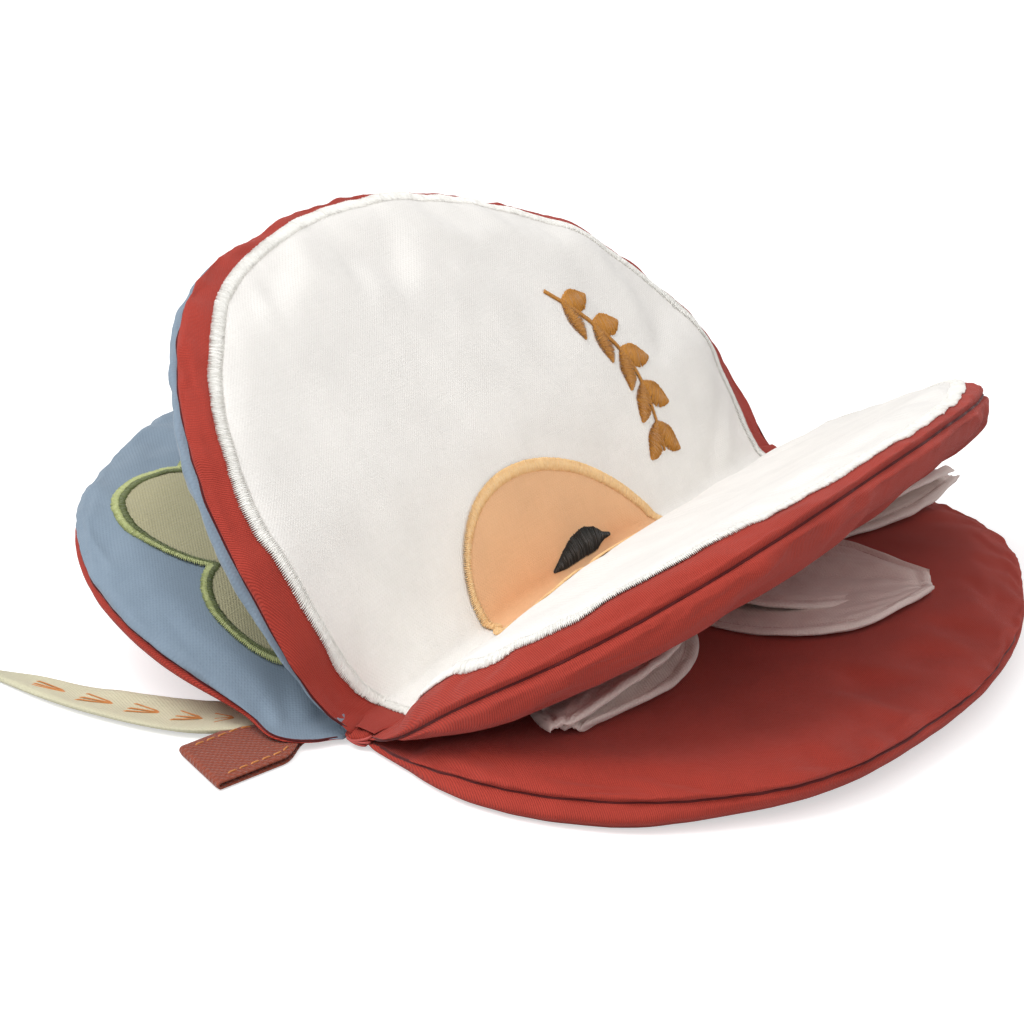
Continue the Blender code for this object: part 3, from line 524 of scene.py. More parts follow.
def face_height(leaf, face, along, out, depth):
    """Height of a face: round at the rim, but a steep wall where the cover stands on the table."""
    turn = RIM_ROUND
    if (leaf.name, face) == ("cover_right", LOWER_FACE):
        turn = WALL_ROUND + (RIM_ROUND - WALL_ROUND) * ease((out - WALL_END) / (WALL_GONE - WALL_END))
    elif (leaf.name, face) == ("leaf_right", LOWER_FACE):
        turn = BACK_ROUND
    dome = np.sqrt(1.0 - (1.0 - np.clip(depth / turn, 0.0, 1.0)) ** 2)
    height = dome * crown(leaf, face, out)
    if face == leaf.outer_face:
        tilt = np.abs(np.cos(leaf.angle + leaf.curl * out))
        height = np.minimum(height, bent_freely(leaf, along, out, 0.0)[..., 2] / tilt)
    return height


# %% [markdown]
# ## Tools for cloth and thread
# Flat cloth starts as a grid primitive that Solidify gives a back. Thread is a curve with a
# round bevel, turned into a mesh: one running line for topstitching, and a zigzag that
# crosses its path for the satin stitch of the appliques.

# %% Mesh tools
UV_PER_METRE = 100.0


def only(piece):
    """Make one object the only one selected, and the active one."""
    bpy.ops.object.select_all(action="DESELECT")
    piece.select_set(True)
    bpy.context.view_layer.objects.active = piece


def corners_of(piece):
    place = np.zeros(len(piece.data.vertices) * 3, np.float32)
    piece.data.vertices.foreach_get("co", place)
    return place.reshape(-1, 3).astype(float)


def set_corners(piece, place):
    piece.data.vertices.foreach_set("co", np.asarray(place, np.float32).ravel())
    piece.data.update()


def apply_last(piece):
    only(piece)
    bpy.ops.object.modifier_apply(modifier=piece.modifiers[-1].name)


def open_all(piece):
    """Go into edit mode with everything selected."""
    only(piece)
    bpy.ops.object.mode_set(mode="EDIT")
    bpy.ops.mesh.select_all(action="SELECT")


def merge_corners(piece, gap):
    open_all(piece)
    bpy.ops.mesh.remove_doubles(threshold=gap)
    bpy.ops.object.mode_set(mode="OBJECT")


def face_outwards(piece):
    open_all(piece)
    bpy.ops.mesh.normals_make_consistent(inside=False)
    bpy.ops.object.mode_set(mode="OBJECT")


def grid_piece(name, columns, rows, closed=False):
    """A grid primitive with a chosen number of steps. Returns it with the column, row and
    side number of every corner; closed gives it a back and walls."""
    bpy.ops.object.select_all(action="DESELECT")
    bpy.ops.mesh.primitive_grid_add(x_subdivisions=columns, y_subdivisions=rows, size=2.0, location=(0, 0, 0))
    piece = bpy.context.object
    piece.name = piece.data.name = name
    if closed:
        shell = piece.modifiers.new("back", "SOLIDIFY")
        shell.thickness, shell.offset = 1.0, 1.0
        apply_last(piece)
    place = corners_of(piece)
    column = np.rint((place[:, 0] + 1) / 2 * columns).astype(int)
    row = np.rint((place[:, 1] + 1) / 2 * rows).astype(int)
    return piece, column, row, (place[:, 2] > 0.5).astype(int)


def lay_uv(piece, flat):
    """The cloth's own UV map: flat places in centimetres."""
    while piece.data.uv_layers:
        piece.data.uv_layers.remove(piece.data.uv_layers[0])
    layer = piece.data.uv_layers.new(name=UV_NAME)
    corner = np.zeros(len(piece.data.loops), np.int32)
    piece.data.loops.foreach_get("vertex_index", corner)
    layer.data.foreach_set("uv", (flat[corner] * UV_PER_METRE).astype(np.float32).ravel())


def dress(piece, material, slot, angle=60.0):
    """Smooth shading and material: what every finished piece gets. The slot is not used."""
    only(piece)
    bpy.ops.object.shade_smooth_by_angle(angle=math.radians(angle))
    piece.data.materials.clear()
    for item in material if isinstance(material, tuple) else (material,):
        piece.data.materials.append(item)
    print(piece.name, len(piece.data.polygons), "faces")


def noise_at(x, y, seed):
    """Smooth noise from -1 to 1 at places given by two rows of numbers."""
    return np.array([noise.noise(Vector(spot)) for spot in np.broadcast(x, y, seed)])


def waves(place, size, seed, stretch=(1.0, 1.0)):
    """Smooth noise at flat places, with hills of about that size."""
    return noise_at(place[:, 0] / (size * stretch[0]), place[:, 1] / (size * stretch[1]), seed)


# %% Thread tools
def thread_piece(name, runs, radius, material, slot, sides=1):
    """Round threads along lists of places, joined in one mesh."""
    bpy.ops.object.select_all(action="DESELECT")
    curve = bpy.data.curves.new(name, "CURVE")
    curve.dimensions = "3D"
    curve.bevel_depth = radius
    curve.bevel_resolution = sides
    curve.use_fill_caps = True
    for run in runs:
        spline = curve.splines.new("POLY")
        spline.points.add(len(run) - 1)
        ones = np.ones((len(run), 1))
        spline.points.foreach_set("co", np.hstack((run, ones)).astype(np.float32).ravel())
    piece = bpy.data.objects.new(name, curve)
    bpy.context.scene.collection.objects.link(piece)
    only(piece)
    bpy.ops.object.convert(target="MESH")
    piece = bpy.context.object
    piece.name = piece.data.name = name
    dress(piece, material, slot)
    return piece

SATIN_FULL = 1.2 * MM
STITCH_SHARES = np.array((0.0, 0.18, 0.5, 0.82, 1.0))


def zigzag(path, widths, pitch, lift, place, seed, loose, arch=0.35 * MM):
    """A thread that crosses a path from edge to edge, arched, as satin stitch does.
    place(along, out, lift) turns flat places into the book's."""
    length = lengths(path)
    count = max(int(length[-1] / pitch), 2)
    share = np.linspace(0.0, 1.0, 2 * count + 1)
    centre = points_at(path, length, share * length[-1])
    half = np.interp(share, np.linspace(0, 1, len(widths)), widths)
    draw = np.random.default_rng(seed)
    hand = np.where(np.arange(len(share)) % 2, 1.0, -1.0)
    ragged = 1.0 + loose * draw.normal(size=len(share)).clip(-1.5, 2.6)
    ends = centre + (hand * half * ragged)[:, None] * left_of(centre)
    middle = (ends[:-1] + ends[1:]) / 2
    flat = np.empty((2 * len(ends) - 1, 2))
    flat[0::2], flat[1::2] = ends, middle
    high = np.zeros(len(flat))
    rise = arch * np.minimum(1.0, (half[:-1] + half[1:]) / (2.0 * SATIN_FULL))
    high[1::2] = rise * (1.0 + 0.15 * draw.normal(size=len(middle)).clip(-1, 1))
    return place(flat[:, 0], flat[:, 1], lift + high)


def running_stitch(line, stitch, gap, dip):
    """Short stitches along a line of places; both ends of each go down into the cloth."""
    length = lengths(line)
    pieces = []
    for start in np.arange(0.0, length[-1] - stitch, stitch + gap):
        part = points_at(line, length, start + stitch * STITCH_SHARES)
        part[[0, -1]] -= dip
        pieces.append(part)
    return pieces


# %% [markdown]
# ## The padded leaves
# A leaf is two panels of cloth sewn together at the rim, turned and stuffed with a sheet of
# wadding. The mesh is one closed skin whose rows crowd together at the rim, so that it turns
# a round edge. Blender's Cloth then pushes the skin out from inside and lets it crumple, and
# after one subdivision the seam is pulled in and puckered with noise that runs across it.

# %% Leaf skin
RIM_ROWS, MIDDLE_ROWS, MIDDLE_COLUMNS = 11, 30, 58
SKIN_MERGE, CLOTH_MERGE = 0.02 * MM, 0.01 * MM


def crowded(length, both, middle):
    """Shares from 0 to 1 that crowd together at the rim end, or at both ends."""
    turn = np.linspace(0.0, math.pi / 2, RIM_ROWS + 1)
    close = RIM_ROUND * (1.0 - np.cos(turn)) / length
    start = close[-1] if both else 0.0
    inner = np.linspace(start, 1.0 - close[-1], middle + 1)
    shares = np.concatenate((inner, 1.0 - close[:-1][::-1]))
    return np.concatenate((close[:-1], shares)) if both else shares


def leaf_skin(leaf):
    """The closed skin of a leaf in flat places, its rim merged to a single seam."""
    columns = crowded(2 * SPINE_HALF, True, MIDDLE_COLUMNS)
    rows = crowded(REACH, False, MIDDLE_ROWS)
    piece, column, row, side = grid_piece(leaf.name + "_pad", len(columns) - 1, len(rows) - 1, closed=True)
    flat = quilt(rim_line(start=leaf.start), columns[column], rows[row])
    depth = rim_frame(flat[:, 0], flat[:, 1])[0]
    rim = (column == 0) | (column == len(columns) - 1) | (row == len(rows) - 1)
    depth[rim] = 0.0
    height = np.where(side == 1, face_height(leaf, UPPER_FACE, flat[:, 0], flat[:, 1], depth),
                      -face_height(leaf, LOWER_FACE, flat[:, 0], flat[:, 1], depth))
    set_corners(piece, np.column_stack((flat, height)))
    merge_corners(piece, SKIN_MERGE)
    face_outwards(piece)
    return piece


# %% [markdown]
# ## Stuffing and seams
# A stuffed panel is never smooth: it crumples where the seam holds more cloth than it needs.
# Cloth with a little pressure swells the panels. Noise adds the broad crumples and, beside
# the seam, the fine puckers, which a simulation would need a far denser mesh for.

# %% Stuffing
PUSH_CAP = 1.1 * MM
HELD_DEPTH, HELD_OUT = 0.3 * MM, 1.5 * MM
LAST_FRAME = 20
STUFFING = {
    "quality": 4, "mass": 0.15, "tension_stiffness": 12.0, "compression_stiffness": 12.0,
    "bending_stiffness": 0.05, "use_pressure": True, "uniform_pressure_force": 4.0,
    "vertex_group_mass": "sewn", "shrink_min": -0.02,
}


def stuff(piece, leaf):
    """Blow the skin up a little with Cloth, so that it crumples between seam and spine."""
    before = corners_of(piece)
    depth = rim_frame(before[:, 0], before[:, 1])[0]
    held = (depth < HELD_DEPTH) | (before[:, 1] < leaf.start + HELD_OUT)
    if leaf.outer_face:
        held |= np.sign(before[:, 2]) == leaf.outer_face
    group = piece.vertex_groups.new(name="sewn")
    group.add([int(i) for i in np.nonzero(held)[0]], 1.0, "REPLACE")
    settings = piece.modifiers.new("stuffing", "CLOTH").settings
    for name, value in STUFFING.items():
        setattr(settings, name, value)
    settings.effector_weights.gravity = 0.0
    for number in range(1, LAST_FRAME + 1):
        bpy.context.scene.frame_set(number)
    apply_last(piece)
    bpy.context.scene.frame_set(1)
    move = corners_of(piece) - before
    far = np.linalg.norm(move, axis=1)
    print(piece.name, "moved by up to", round(far.max() / MM, 2), "mm, kept to", PUSH_CAP / MM)
    move *= np.minimum(1.0, PUSH_CAP / np.maximum(far, 1e-9))[:, None]
    set_corners(piece, before + move)
    piece.vertex_groups.clear()


# %% Gathers at the sewn ends, and the left cover's own cut
GATHER, GATHER_REACH, GATHER_TURNS = 0.55 * MM, 16.0 * MM, 13.0
BLUE_GATHER, BLUE_GATHER_REACH = 1.2 * MM, 26.0 * MM
GATHER_WAVE, GATHER_CALM = 9.0 * MM, 9.0 * MM
LOBE, LOBE_OUT, LOBE_SPAN = 6.0 * MM, 13.0 * MM, 8.0 * MM
LOBE_RISE, CUT_RISE = 4.0 * MM, 20.0 * MM
CUTS = ((0.012, 0.15, 0.05), (-0.03, 0.3, 0.06))


def gathers(leaf, place, face, seed):
    """Small folds that fan out from the two sewn ends of the spine."""
    end = SPINE_HALF - np.abs(place[:, 0])
    far = np.hypot(end, place[:, 1])
    fan = np.arctan2(place[:, 1], end) * GATHER_TURNS + np.sign(place[:, 0])
    fan = fan + 1.5 * waves(place, GATHER_WAVE, seed)
    blue = (leaf is COVER_LEFT) & (face == LOWER_FACE)
    blue_size = BLUE_GATHER * np.exp(-far / BLUE_GATHER_REACH)
    size = np.where(blue, blue_size, GATHER * np.exp(-far / GATHER_REACH))
    return size * np.sin(fan + face) * ease(far / GATHER_CALM) * (leaf.outer_face != face)


def trimmed(leaf, place):
    """The left cover is cut a little smaller at its upper left than the other three, and its
    stem end bulges forward beside the pinched spine."""
    if leaf is not COVER_LEFT:
        return place
    share = 0.5 + np.arctan2(place[:, 0] / SPINE_HALF, place[:, 1] / REACH) / math.pi
    grow = sum(size * hill(share - middle, span) for size, middle, span in CUTS)
    place = place * (1.0 + grow[:, None] * ease(place[:, 1:2] / CUT_RISE))
    near = hill(place[:, 1] - LOBE_OUT, LOBE_SPAN) * ease((place[:, 1] - leaf.start) / LOBE_RISE)
    push = LOBE * near * ease((-place[:, 0] - 0.7 * SPINE_HALF) / (0.3 * SPINE_HALF))
    return place - np.column_stack((push, push * 0.0))


# %% Crumples and puckers
CRUMPLES = {
    ("cover_right", UPPER_FACE): 0.45 * MM, ("cover_right", LOWER_FACE): 0.0,
    ("leaf_right", UPPER_FACE): 0.3 * MM, ("leaf_right", LOWER_FACE): 0.35 * MM,
    ("leaf_left", UPPER_FACE): 0.5 * MM, ("leaf_left", LOWER_FACE): 0.35 * MM,
    ("cover_left", UPPER_FACE): 0.0, ("cover_left", LOWER_FACE): 0.75 * MM,
}
BIG_CRUMPLE, SMALL_CRUMPLE, SHARP_CRUMPLE = 26.0 * MM, 11.0 * MM, 34.0 * MM
CALM_RIM, CALM_SPAN, CALM_SPINE = 3.0 * MM, 14.0 * MM, 12.0 * MM
LONG_PUCKER, LONG_ALONG, LONG_DEEP = 0.62 * MM, 6.5 * MM, 15.0 * MM
FINE_PUCKER, FINE_ALONG, FINE_DEEP = 0.3 * MM, 2.4 * MM, 6.0 * MM
PUCKER_ZONE, SEAM_ZONE, THIN = 6.0 * MM, 2.2 * MM, 2.2 * MM
TABLE_CALM = 0.7


def crumples(leaf, place, depth, face, seed):
    """Broad soft folds over a face, calm beside the rim and the spine."""
    big = waves(place, BIG_CRUMPLE, seed, (1.0, 1.5))
    big = big + 0.5 * waves(place, SMALL_CRUMPLE, seed + 7.3, (1.0, 1.8))
    sharp = 1.0 - np.abs(waves(place, SHARP_CRUMPLE, seed + 3.1)) * 3.0
    size = np.array([CRUMPLES[leaf.name, int(side)] for side in face])
    calm = ease((depth - CALM_RIM) / CALM_SPAN) * ease((place[:, 1] - CALM_RIM) / CALM_SPINE)
    return size * calm * (big + 0.5 * np.clip(sharp, 0.0, 1.0))


def puckers(leaf, height, depth, arc, face, seed):
    """Fine folds that run across the seam, weaker where the cover lies on the table."""
    side_seed = seed + 11.0 * (face == UPPER_FACE)
    long_ones = noise_at(arc / LONG_ALONG, depth / LONG_DEEP, side_seed)
    fine_ones = noise_at(arc / FINE_ALONG, depth / FINE_DEEP, side_seed + 5.0)
    near_seam = np.exp(-np.abs(height) / SEAM_ZONE)
    size = LONG_PUCKER * long_ones + FINE_PUCKER * fine_ones * (0.4 + near_seam)
    return np.exp(-depth / PUCKER_ZONE) * size * (1.0 - TABLE_CALM * (face == leaf.outer_face))


# %% Seams
SEAM_TUCK, SCALLOP_ALONG = 1.15 * MM, 5.0 * MM
TUCK_HEIGHT, TUCK_DEPTH, TUCK_RISE = 0.7 * MM, 3.0 * MM, 5.0 * MM
WALL_BULGE, BULGE_HEIGHT, BULGE_SPAN, BULGE_DEPTH = 2.1 * MM, -3.2 * MM, 2.0 * MM, 4.0 * MM
BULGE_START, BULGE_RISE, BULGE_END = 14.0 * MM, 20.0 * MM, 25.0 * MM
SEAM_RADIUS, SEAM_SHIFT, SEAM_STEPS, SEAM_START = 0.3 * MM, -0.1 * MM, 520, 1.0 * MM
WAVER, WAVER_ALONG = 0.2 * MM, 16.0 * MM


def seam_tuck(arc, seed):
    """How deep the seam is pulled in at each distance along the rim."""
    return SEAM_TUCK * (1.0 + 0.4 * noise_at(arc / SCALLOP_ALONG, 0.0, seed + 2.0))


def rim_tuck(leaf, flat, depth, arc, seed):
    """How far the skin goes in at the seam; the right cover's front wall bulges out instead."""
    out, height = flat[:, 1], flat[:, 2]
    tuck = seam_tuck(arc, seed) * hill(height, TUCK_HEIGHT) * np.exp(-depth / TUCK_DEPTH)
    tuck *= ease((out - leaf.start) / TUCK_RISE)
    if leaf is COVER_RIGHT:
        low = hill(height - BULGE_HEIGHT, BULGE_SPAN) * ease((out - BULGE_START) / BULGE_RISE)
        tuck -= WALL_BULGE * low * ease((WALL_GONE - out) / BULGE_END) * np.exp(-depth / BULGE_DEPTH)
    return tuck


def seam_line(leaf, seed):
    """A dark line at the bottom of the groove between the panels: painted shadow of the groove, made as a
    thin dark tube.
    """
    line = line_at(rim_line(start=leaf.start + SEAM_START), np.linspace(0.0, 1.0, SEAM_STEPS))
    _, arc, inward = rim_frame(line[:, 0], line[:, 1])
    line = trimmed(leaf, line + inward * (seam_tuck(arc, seed) + SEAM_SHIFT)[:, None])
    waver = noise_at(arc / WAVER_ALONG, 3.0, seed) * WAVER
    # the dark tube is painted shadow along the bottom of the seam groove
    seam = thread_piece(leaf.name + "_seam_thread", [bent(leaf, line[:, 0], line[:, 1], waver)],
                        SEAM_RADIUS, SEAM_PAINTED_SHADOW, "red_thread")
    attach(seam, leaf.name)


# %% Finished leaves
EDGE_GAP = 0.05 * MM


def finish_skin(piece, leaf, seed):
    """Subdivide, crumple and pull the seam in. Returns the flat places of the corners."""
    piece.modifiers.new("rounder", "SUBSURF").levels = 1
    apply_last(piece)
    flat = corners_of(piece)
    place, height = flat[:, :2], flat[:, 2]
    depth, arc, inward = rim_frame(flat[:, 0], flat[:, 1])
    normal = np.zeros(len(flat) * 3, np.float32)
    piece.data.vertices.foreach_get("normal", normal)
    face = np.where(height >= 0, UPPER_FACE, LOWER_FACE)
    amount = crumples(leaf, place, depth, face, seed)
    amount += puckers(leaf, height, depth, arc, face, seed)
    amount += gathers(leaf, place, face, seed)
    pushed = flat + normal.reshape(-1, 3) * (amount * ease(np.abs(height) / THIN))[:, None]
    side = np.column_stack((place, pushed[:, 2]))
    pushed[:, :2] += inward * rim_tuck(leaf, side, depth, arc, seed)[:, None]
    pushed[:, :2] = trimmed(leaf, pushed[:, :2])
    set_corners(piece, pushed)
    return pushed


def mark_faces(piece, leaf):
    """Number the lower face, with the edge beside the spine, 1 and the upper face 0."""
    place = corners_of(piece)
    for polygon in piece.data.polygons:
        corner = place[list(polygon.vertices)]
        beside_spine = corner[:, 1].max() < leaf.start + EDGE_GAP
        polygon.material_index = int(beside_spine or corner[:, 2].mean() < 0.0)


def face_numbers(piece):
    number = np.zeros(len(piece.data.polygons), np.int32)
    piece.data.polygons.foreach_get("material_index", number)
    return number


PAGES = {}
LEAF_CLOTHS = {
    "cover_right": ((RED_TWILL, RED_TWILL), "red_twill", ("inside", "outside")),
    "leaf_right": ((RED_TWILL, RED_TWILL), "red_twill", ("front", "back")),
    "leaf_left": ((BLUE_COTTON, RED_TWILL), "red_twill", ("back", "front")),
    "cover_left": ((RED_TWILL, BLUE_COTTON), "red_twill", ("outside", "inside")),
}


def padded_leaf(leaf, seed):
    """One stuffed leaf; its flat skin is kept in PAGES for what is sewn on it."""
    piece = leaf_skin(leaf)
    mark_faces(piece, leaf)
    stuff(piece, leaf)
    flat = finish_skin(piece, leaf, seed)
    materials, slot, faces = LEAF_CLOTHS[leaf.name]
    number = face_numbers(piece)
    dress(piece, materials, slot, angle=180.0)
    if materials[0] != materials[1]:
        piece.data.polygons.foreach_set("material_index", number)
    lay_uv(piece, flat[:, :2])
    loops = [tuple(p.vertices) for p in piece.data.polygons]
    PAGES[leaf.name] = BVHTree.FromPolygons([tuple(p) for p in flat], loops)
    set_corners(piece, bent(leaf, flat[:, 0], flat[:, 1], flat[:, 2]))
    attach(piece, leaf.name)
    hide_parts(*(leaf.name + "_" + face for face in (*faces, "wadding")))


for number, leaf in enumerate(LEAVES):
    padded_leaf(leaf, 10.0 * number + 1.7)
    seam_line(leaf, 10.0 * number + 1.7)

# %% [markdown]
# ## The folds between the leaves
# At each spread the cloth of one page runs down into the fold and up the next page.

# %% Places on a page and across a fold
FOLD_OUT, FOLD_CREASE = 5.5 * MM, 2.2 * MM
Spread = namedtuple("Spread", "first first_face second second_face")
RED_SPREAD = Spread(COVER_RIGHT, UPPER_FACE, LEAF_RIGHT, LOWER_FACE)
APPLE_SPREAD = Spread(LEAF_RIGHT, UPPER_FACE, LEAF_LEFT, LOWER_FACE)
BLUE_SPREAD = Spread(LEAF_LEFT, UPPER_FACE, COVER_LEFT, LOWER_FACE)
SKY, PAGE_START, DEEPEST = 0.05, 0.4 * MM, 0.45


def page_height(leaf, face, along, out):
    """Height of the finished page under flat places, read off the stuffed leaf."""
    tree, heights = PAGES[leaf.name], []
    for a, o in zip(along, out):
        high = Vector((a, max(o, leaf.start + PAGE_START), face * SKY))
        hit = tree.ray_cast(high, Vector((0, 0, -face)))[0]
        heights.append(hit.z if hit is not None and hit.z * face > 0 else 0.0)
    return np.abs(np.array(heights))


def on_page(leaf, face, along, out, lift):
    """Places that far off a page; what is sunk into it stays within a share of its height."""
    along, out = np.atleast_1d(along).astype(float), np.atleast_1d(out).astype(float)
    height = page_height(leaf, face, along, out)
    return bent(leaf, along, out, face * (height + np.maximum(lift, -DEEPEST * height)))


def over_fold(spread, page, along, out, lift):
    """Places on a page that bend over into the fold where they come near it."""
    along, out = np.atleast_1d(along).astype(float), np.atleast_1d(out).astype(float)
    lift = np.broadcast_to(lift, along.shape)
    leaf, face = (spread.first, spread.first_face) if page == 0 else (spread.second, spread.second_face)
    places = on_page(leaf, face, along, np.maximum(out, FOLD_OUT), lift)
    near = np.nonzero(out < FOLD_OUT)[0]
    if len(near):
        edge = np.full(len(near), FOLD_OUT)
        first = on_page(spread.first, spread.first_face, along[near], edge, lift[near])
        second = on_page(spread.second, spread.second_face, along[near], edge, lift[near])
        axis = sunk(np.column_stack((edge * 0 + AXIS[0], along[near], edge * 0 + AXIS[2])))
        bisector = (first + second) / 2 - axis
        bisector /= np.linalg.norm(bisector, axis=1)[:, None]
        crease = axis + bisector * (FOLD_CREASE + lift[near, None])
        part = 0.5 * out[near, None] / FOLD_OUT
        part = 0.5 - part if page == 0 else 0.5 + part
        places[near] = (1 - part) ** 2 * first + 2 * part * (1 - part) * crease + part ** 2 * second
    return places


def on_both(spread, first_half, along, out, lift):
    """Places over a fold; first_half tells which of them lie on the first page."""
    return np.where(first_half[:, None], over_fold(spread, 0, along, out, lift),
                    over_fold(spread, 1, along, out, lift))


def fold_ends(spread):
    return (on_page(spread.first, spread.first_face, 0.0, FOLD_OUT, 0.0)[0],
            on_page(spread.second, spread.second_face, 0.0, FOLD_OUT, 0.0)[0])


def turn_with(piece, spread):
    start, end = fold_ends(spread)
    tuple(start)
    tuple(end)
    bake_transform(piece)


# %% Cloth in the folds
STRIP_OUT = np.array((-7.6, -6.6, -5.6, -4.4, -3.2, -2.1, -1.0, 0.0, 1.0, 2.1, 3.2, 4.4, 5.6, 6.6, 7.6)) * MM
STRIP_LIFT = np.interp(np.abs(STRIP_OUT), (0.0, 5.0 * MM, 6.6 * MM, 7.6 * MM),
                       (0.1 * MM, 0.1 * MM, 0.06 * MM, -0.5 * MM))
STRIP_COLUMNS, STRIP_NARROW, NARROW_SPAN = 98, 0.45, 12.0 * MM
PLEAT, PLEAT_SIZE, PINCH_SPAN = 0.3 * MM, 2.6 * MM, 5.0 * MM


def fold_strip(name, spread, material, slot, seed):
    """A strip of cloth in a fold, narrower and pleated at the spine's sewn ends."""
    piece, column, row, _ = grid_piece(name, STRIP_COLUMNS, len(STRIP_OUT) - 1)
    along = SPINE_HALF * (2.0 * column / STRIP_COLUMNS - 1.0)
    end = SPINE_HALF - np.abs(along)
    out = STRIP_OUT[row] * (STRIP_NARROW + (1.0 - STRIP_NARROW) * ease(end / NARROW_SPAN))
    pleat = waves(np.column_stack((along, out)), PLEAT_SIZE, seed, (3.0, 0.8))
    lift = STRIP_LIFT[row] + PLEAT * np.exp(-end / PINCH_SPAN) * pleat
    set_corners(piece, on_both(spread, out < 0, along, np.abs(out), lift))
    lay_uv(piece, np.column_stack((along, out)))
    dress(piece, material, slot, angle=180.0)
    turn_with(piece, spread)


fold_strip("fold_red", RED_SPREAD, RED_TWILL, "red_twill", 3.0)
fold_strip("fold_apple", APPLE_SPREAD, RED_TWILL, "red_twill", 5.0)
fold_strip("fold_blue", BLUE_SPREAD, BLUE_COTTON, "blue_cotton", 7.0)


# %% [markdown]
# ## Cut apple on the white spread
# The white flesh and the peach core are single cloths that cross the fold, each with a satin
# stitched edge. They lie a third of a millimetre off the page below.

# %% Flesh and core
FLESH_INSETS = np.array((13.6, 6.2, 7.1, 4.4, 3.8, 4.5, 6.6, 7.4, 9.5)) * MM
CORE_ALONG, CORE_HALF, CORE_OUT, CORE_LEAN = -6.4 * MM, 38.4 * MM, 30.0 * MM, 15.0 * MM
CORE_SHARES, WHOLE_SHARES = (0.55, 1.0), (1.0, 1.0)
FLESH_LIFT, CORE_LIFT = 0.35 * MM, 0.7 * MM
FLESH_GRID, CORE_GRID = (96, 54), (48, 24)


def spread_cloth(name, spread, flat_of, grid, lift, material, slot, nodes, shares=WHOLE_SHARES):
    """A cloth over both pages; flat_of(column, row) gives one page's half, and the two shares
    say how far it reaches up each page."""
    columns, rows = grid
    piece, column, row, _ = grid_piece(name, columns, 2 * rows)
    across = row / rows - 1.0
    flat = flat_of(column / columns, np.abs(across) ** 1.25)
    flat = flat * np.where((across < 0)[:, None], (1.0, shares[0]), (1.0, shares[1]))
    set_corners(piece, on_both(spread, across < 0, flat[:, 0], flat[:, 1], lift))
    lay_uv(piece, np.column_stack((flat[:, 0], np.sign(across) * flat[:, 1])))
    merge_corners(piece, CLOTH_MERGE)
    dress(piece, material, slot, angle=180.0)
    turn_with(piece, spread)
    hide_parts(*nodes)


def flesh_flat(column, row):
    return quilt(rim_line(FLESH_INSETS), column, row)


def core_flat(column, row, grow=0.0):
    """Half of the core: an oval whose widest part leans towards the stem end."""
    turn = math.pi * (1.0 - column)
    return np.column_stack((CORE_ALONG + (CORE_HALF + grow) * np.cos(turn) - CORE_LEAN * row * np.sin(turn),
                            row * (CORE_OUT + grow) * np.sin(turn)))


spread_cloth("flesh_cloth", APPLE_SPREAD, flesh_flat, FLESH_GRID, FLESH_LIFT, WHITE_COTTON, "white_cotton",
             ("flesh_right", "flesh_left"))
spread_cloth("core_cloth", APPLE_SPREAD, core_flat, CORE_GRID, CORE_LIFT, PEACH_COTTON, "peach_cotton",
             ("core_right", "core_left"), CORE_SHARES)


# %% Satin edges of flesh and core
SATIN_HALF, SATIN_PITCH, SATIN_ARCH, SATIN_RADIUS = 1.3 * MM, 0.4 * MM, 0.28 * MM, 0.24 * MM
SATIN_LIFT, FLESH_OVERHANG, CORE_OVERHANG = 0.1 * MM, 0.6 * MM, 0.4 * MM


def satin_edges(name, spread, path, material, slot, nodes, lift, seed, shares=WHOLE_SHARES):
    """Satin stitch along the edge of a cloth that crosses a fold, in a run for each page."""
    runs = []
    for page in (0, 1):
        def place(along, out, height, page=page):
            return over_fold(spread, page, along, np.maximum(out, 0.0), height)
        runs.append(zigzag(path * (1.0, shares[page]), (SATIN_HALF,), SATIN_PITCH, lift, place, seed + page,
                           loose=0.035, arch=SATIN_ARCH))
    piece = thread_piece(name, runs, SATIN_RADIUS, material, slot)
    turn_with(piece, spread)
    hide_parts(*nodes)


flesh_path = rim_line(FLESH_INSETS - FLESH_OVERHANG)
core_path = core_flat(np.linspace(0.0, 1.0, 90), 1.0, grow=CORE_OVERHANG)
satin_edges("flesh_edge_stitches", APPLE_SPREAD, flesh_path, WHITE_THREAD, "white_satin",
            ("flesh_edge_right", "flesh_edge_left"), FLESH_LIFT + SATIN_LIFT, 21)
satin_edges("core_edge_stitches", APPLE_SPREAD, core_path, PEACH_THREAD, "peach_satin",
            ("core_edge_right", "core_edge_left"), CORE_LIFT + SATIN_LIFT, 31, CORE_SHARES)


# %% [markdown]
# ## Pips and sprig
# Both are filled with satin stitch: a thread crosses the shape from edge to edge, close
# enough to cover it. A pip is one such run; the sprig has a run for its stem and each leaflet.

# %% Filled embroidery
PIP_LINE = np.array(((-17.2, 5.4), (-9.0, 6.6), (-2.0, 7.4), (3.5, 7.4), (6.2, 6.9), (9.6, 6.4))) * MM
PIP_HALF = 3.5 * MM
PIP_SHARES = np.array((0.05, 0.3, 0.56, 0.8, 0.96, 1.0, 0.94, 0.7, 0.22, 0.08))
FILL_PITCH, FILL_ARCH, FILL_RADIUS = 0.3 * MM, 0.3 * MM, 0.2 * MM
PIP_LIFT, SPRIG_LIFT = 0.15 * MM, 0.2 * MM


def page_placer(leaf, face):
    """A function that puts flat places on one page."""
    def place(along, out, height):
        return on_page(leaf, face, along, out, height)
    return place


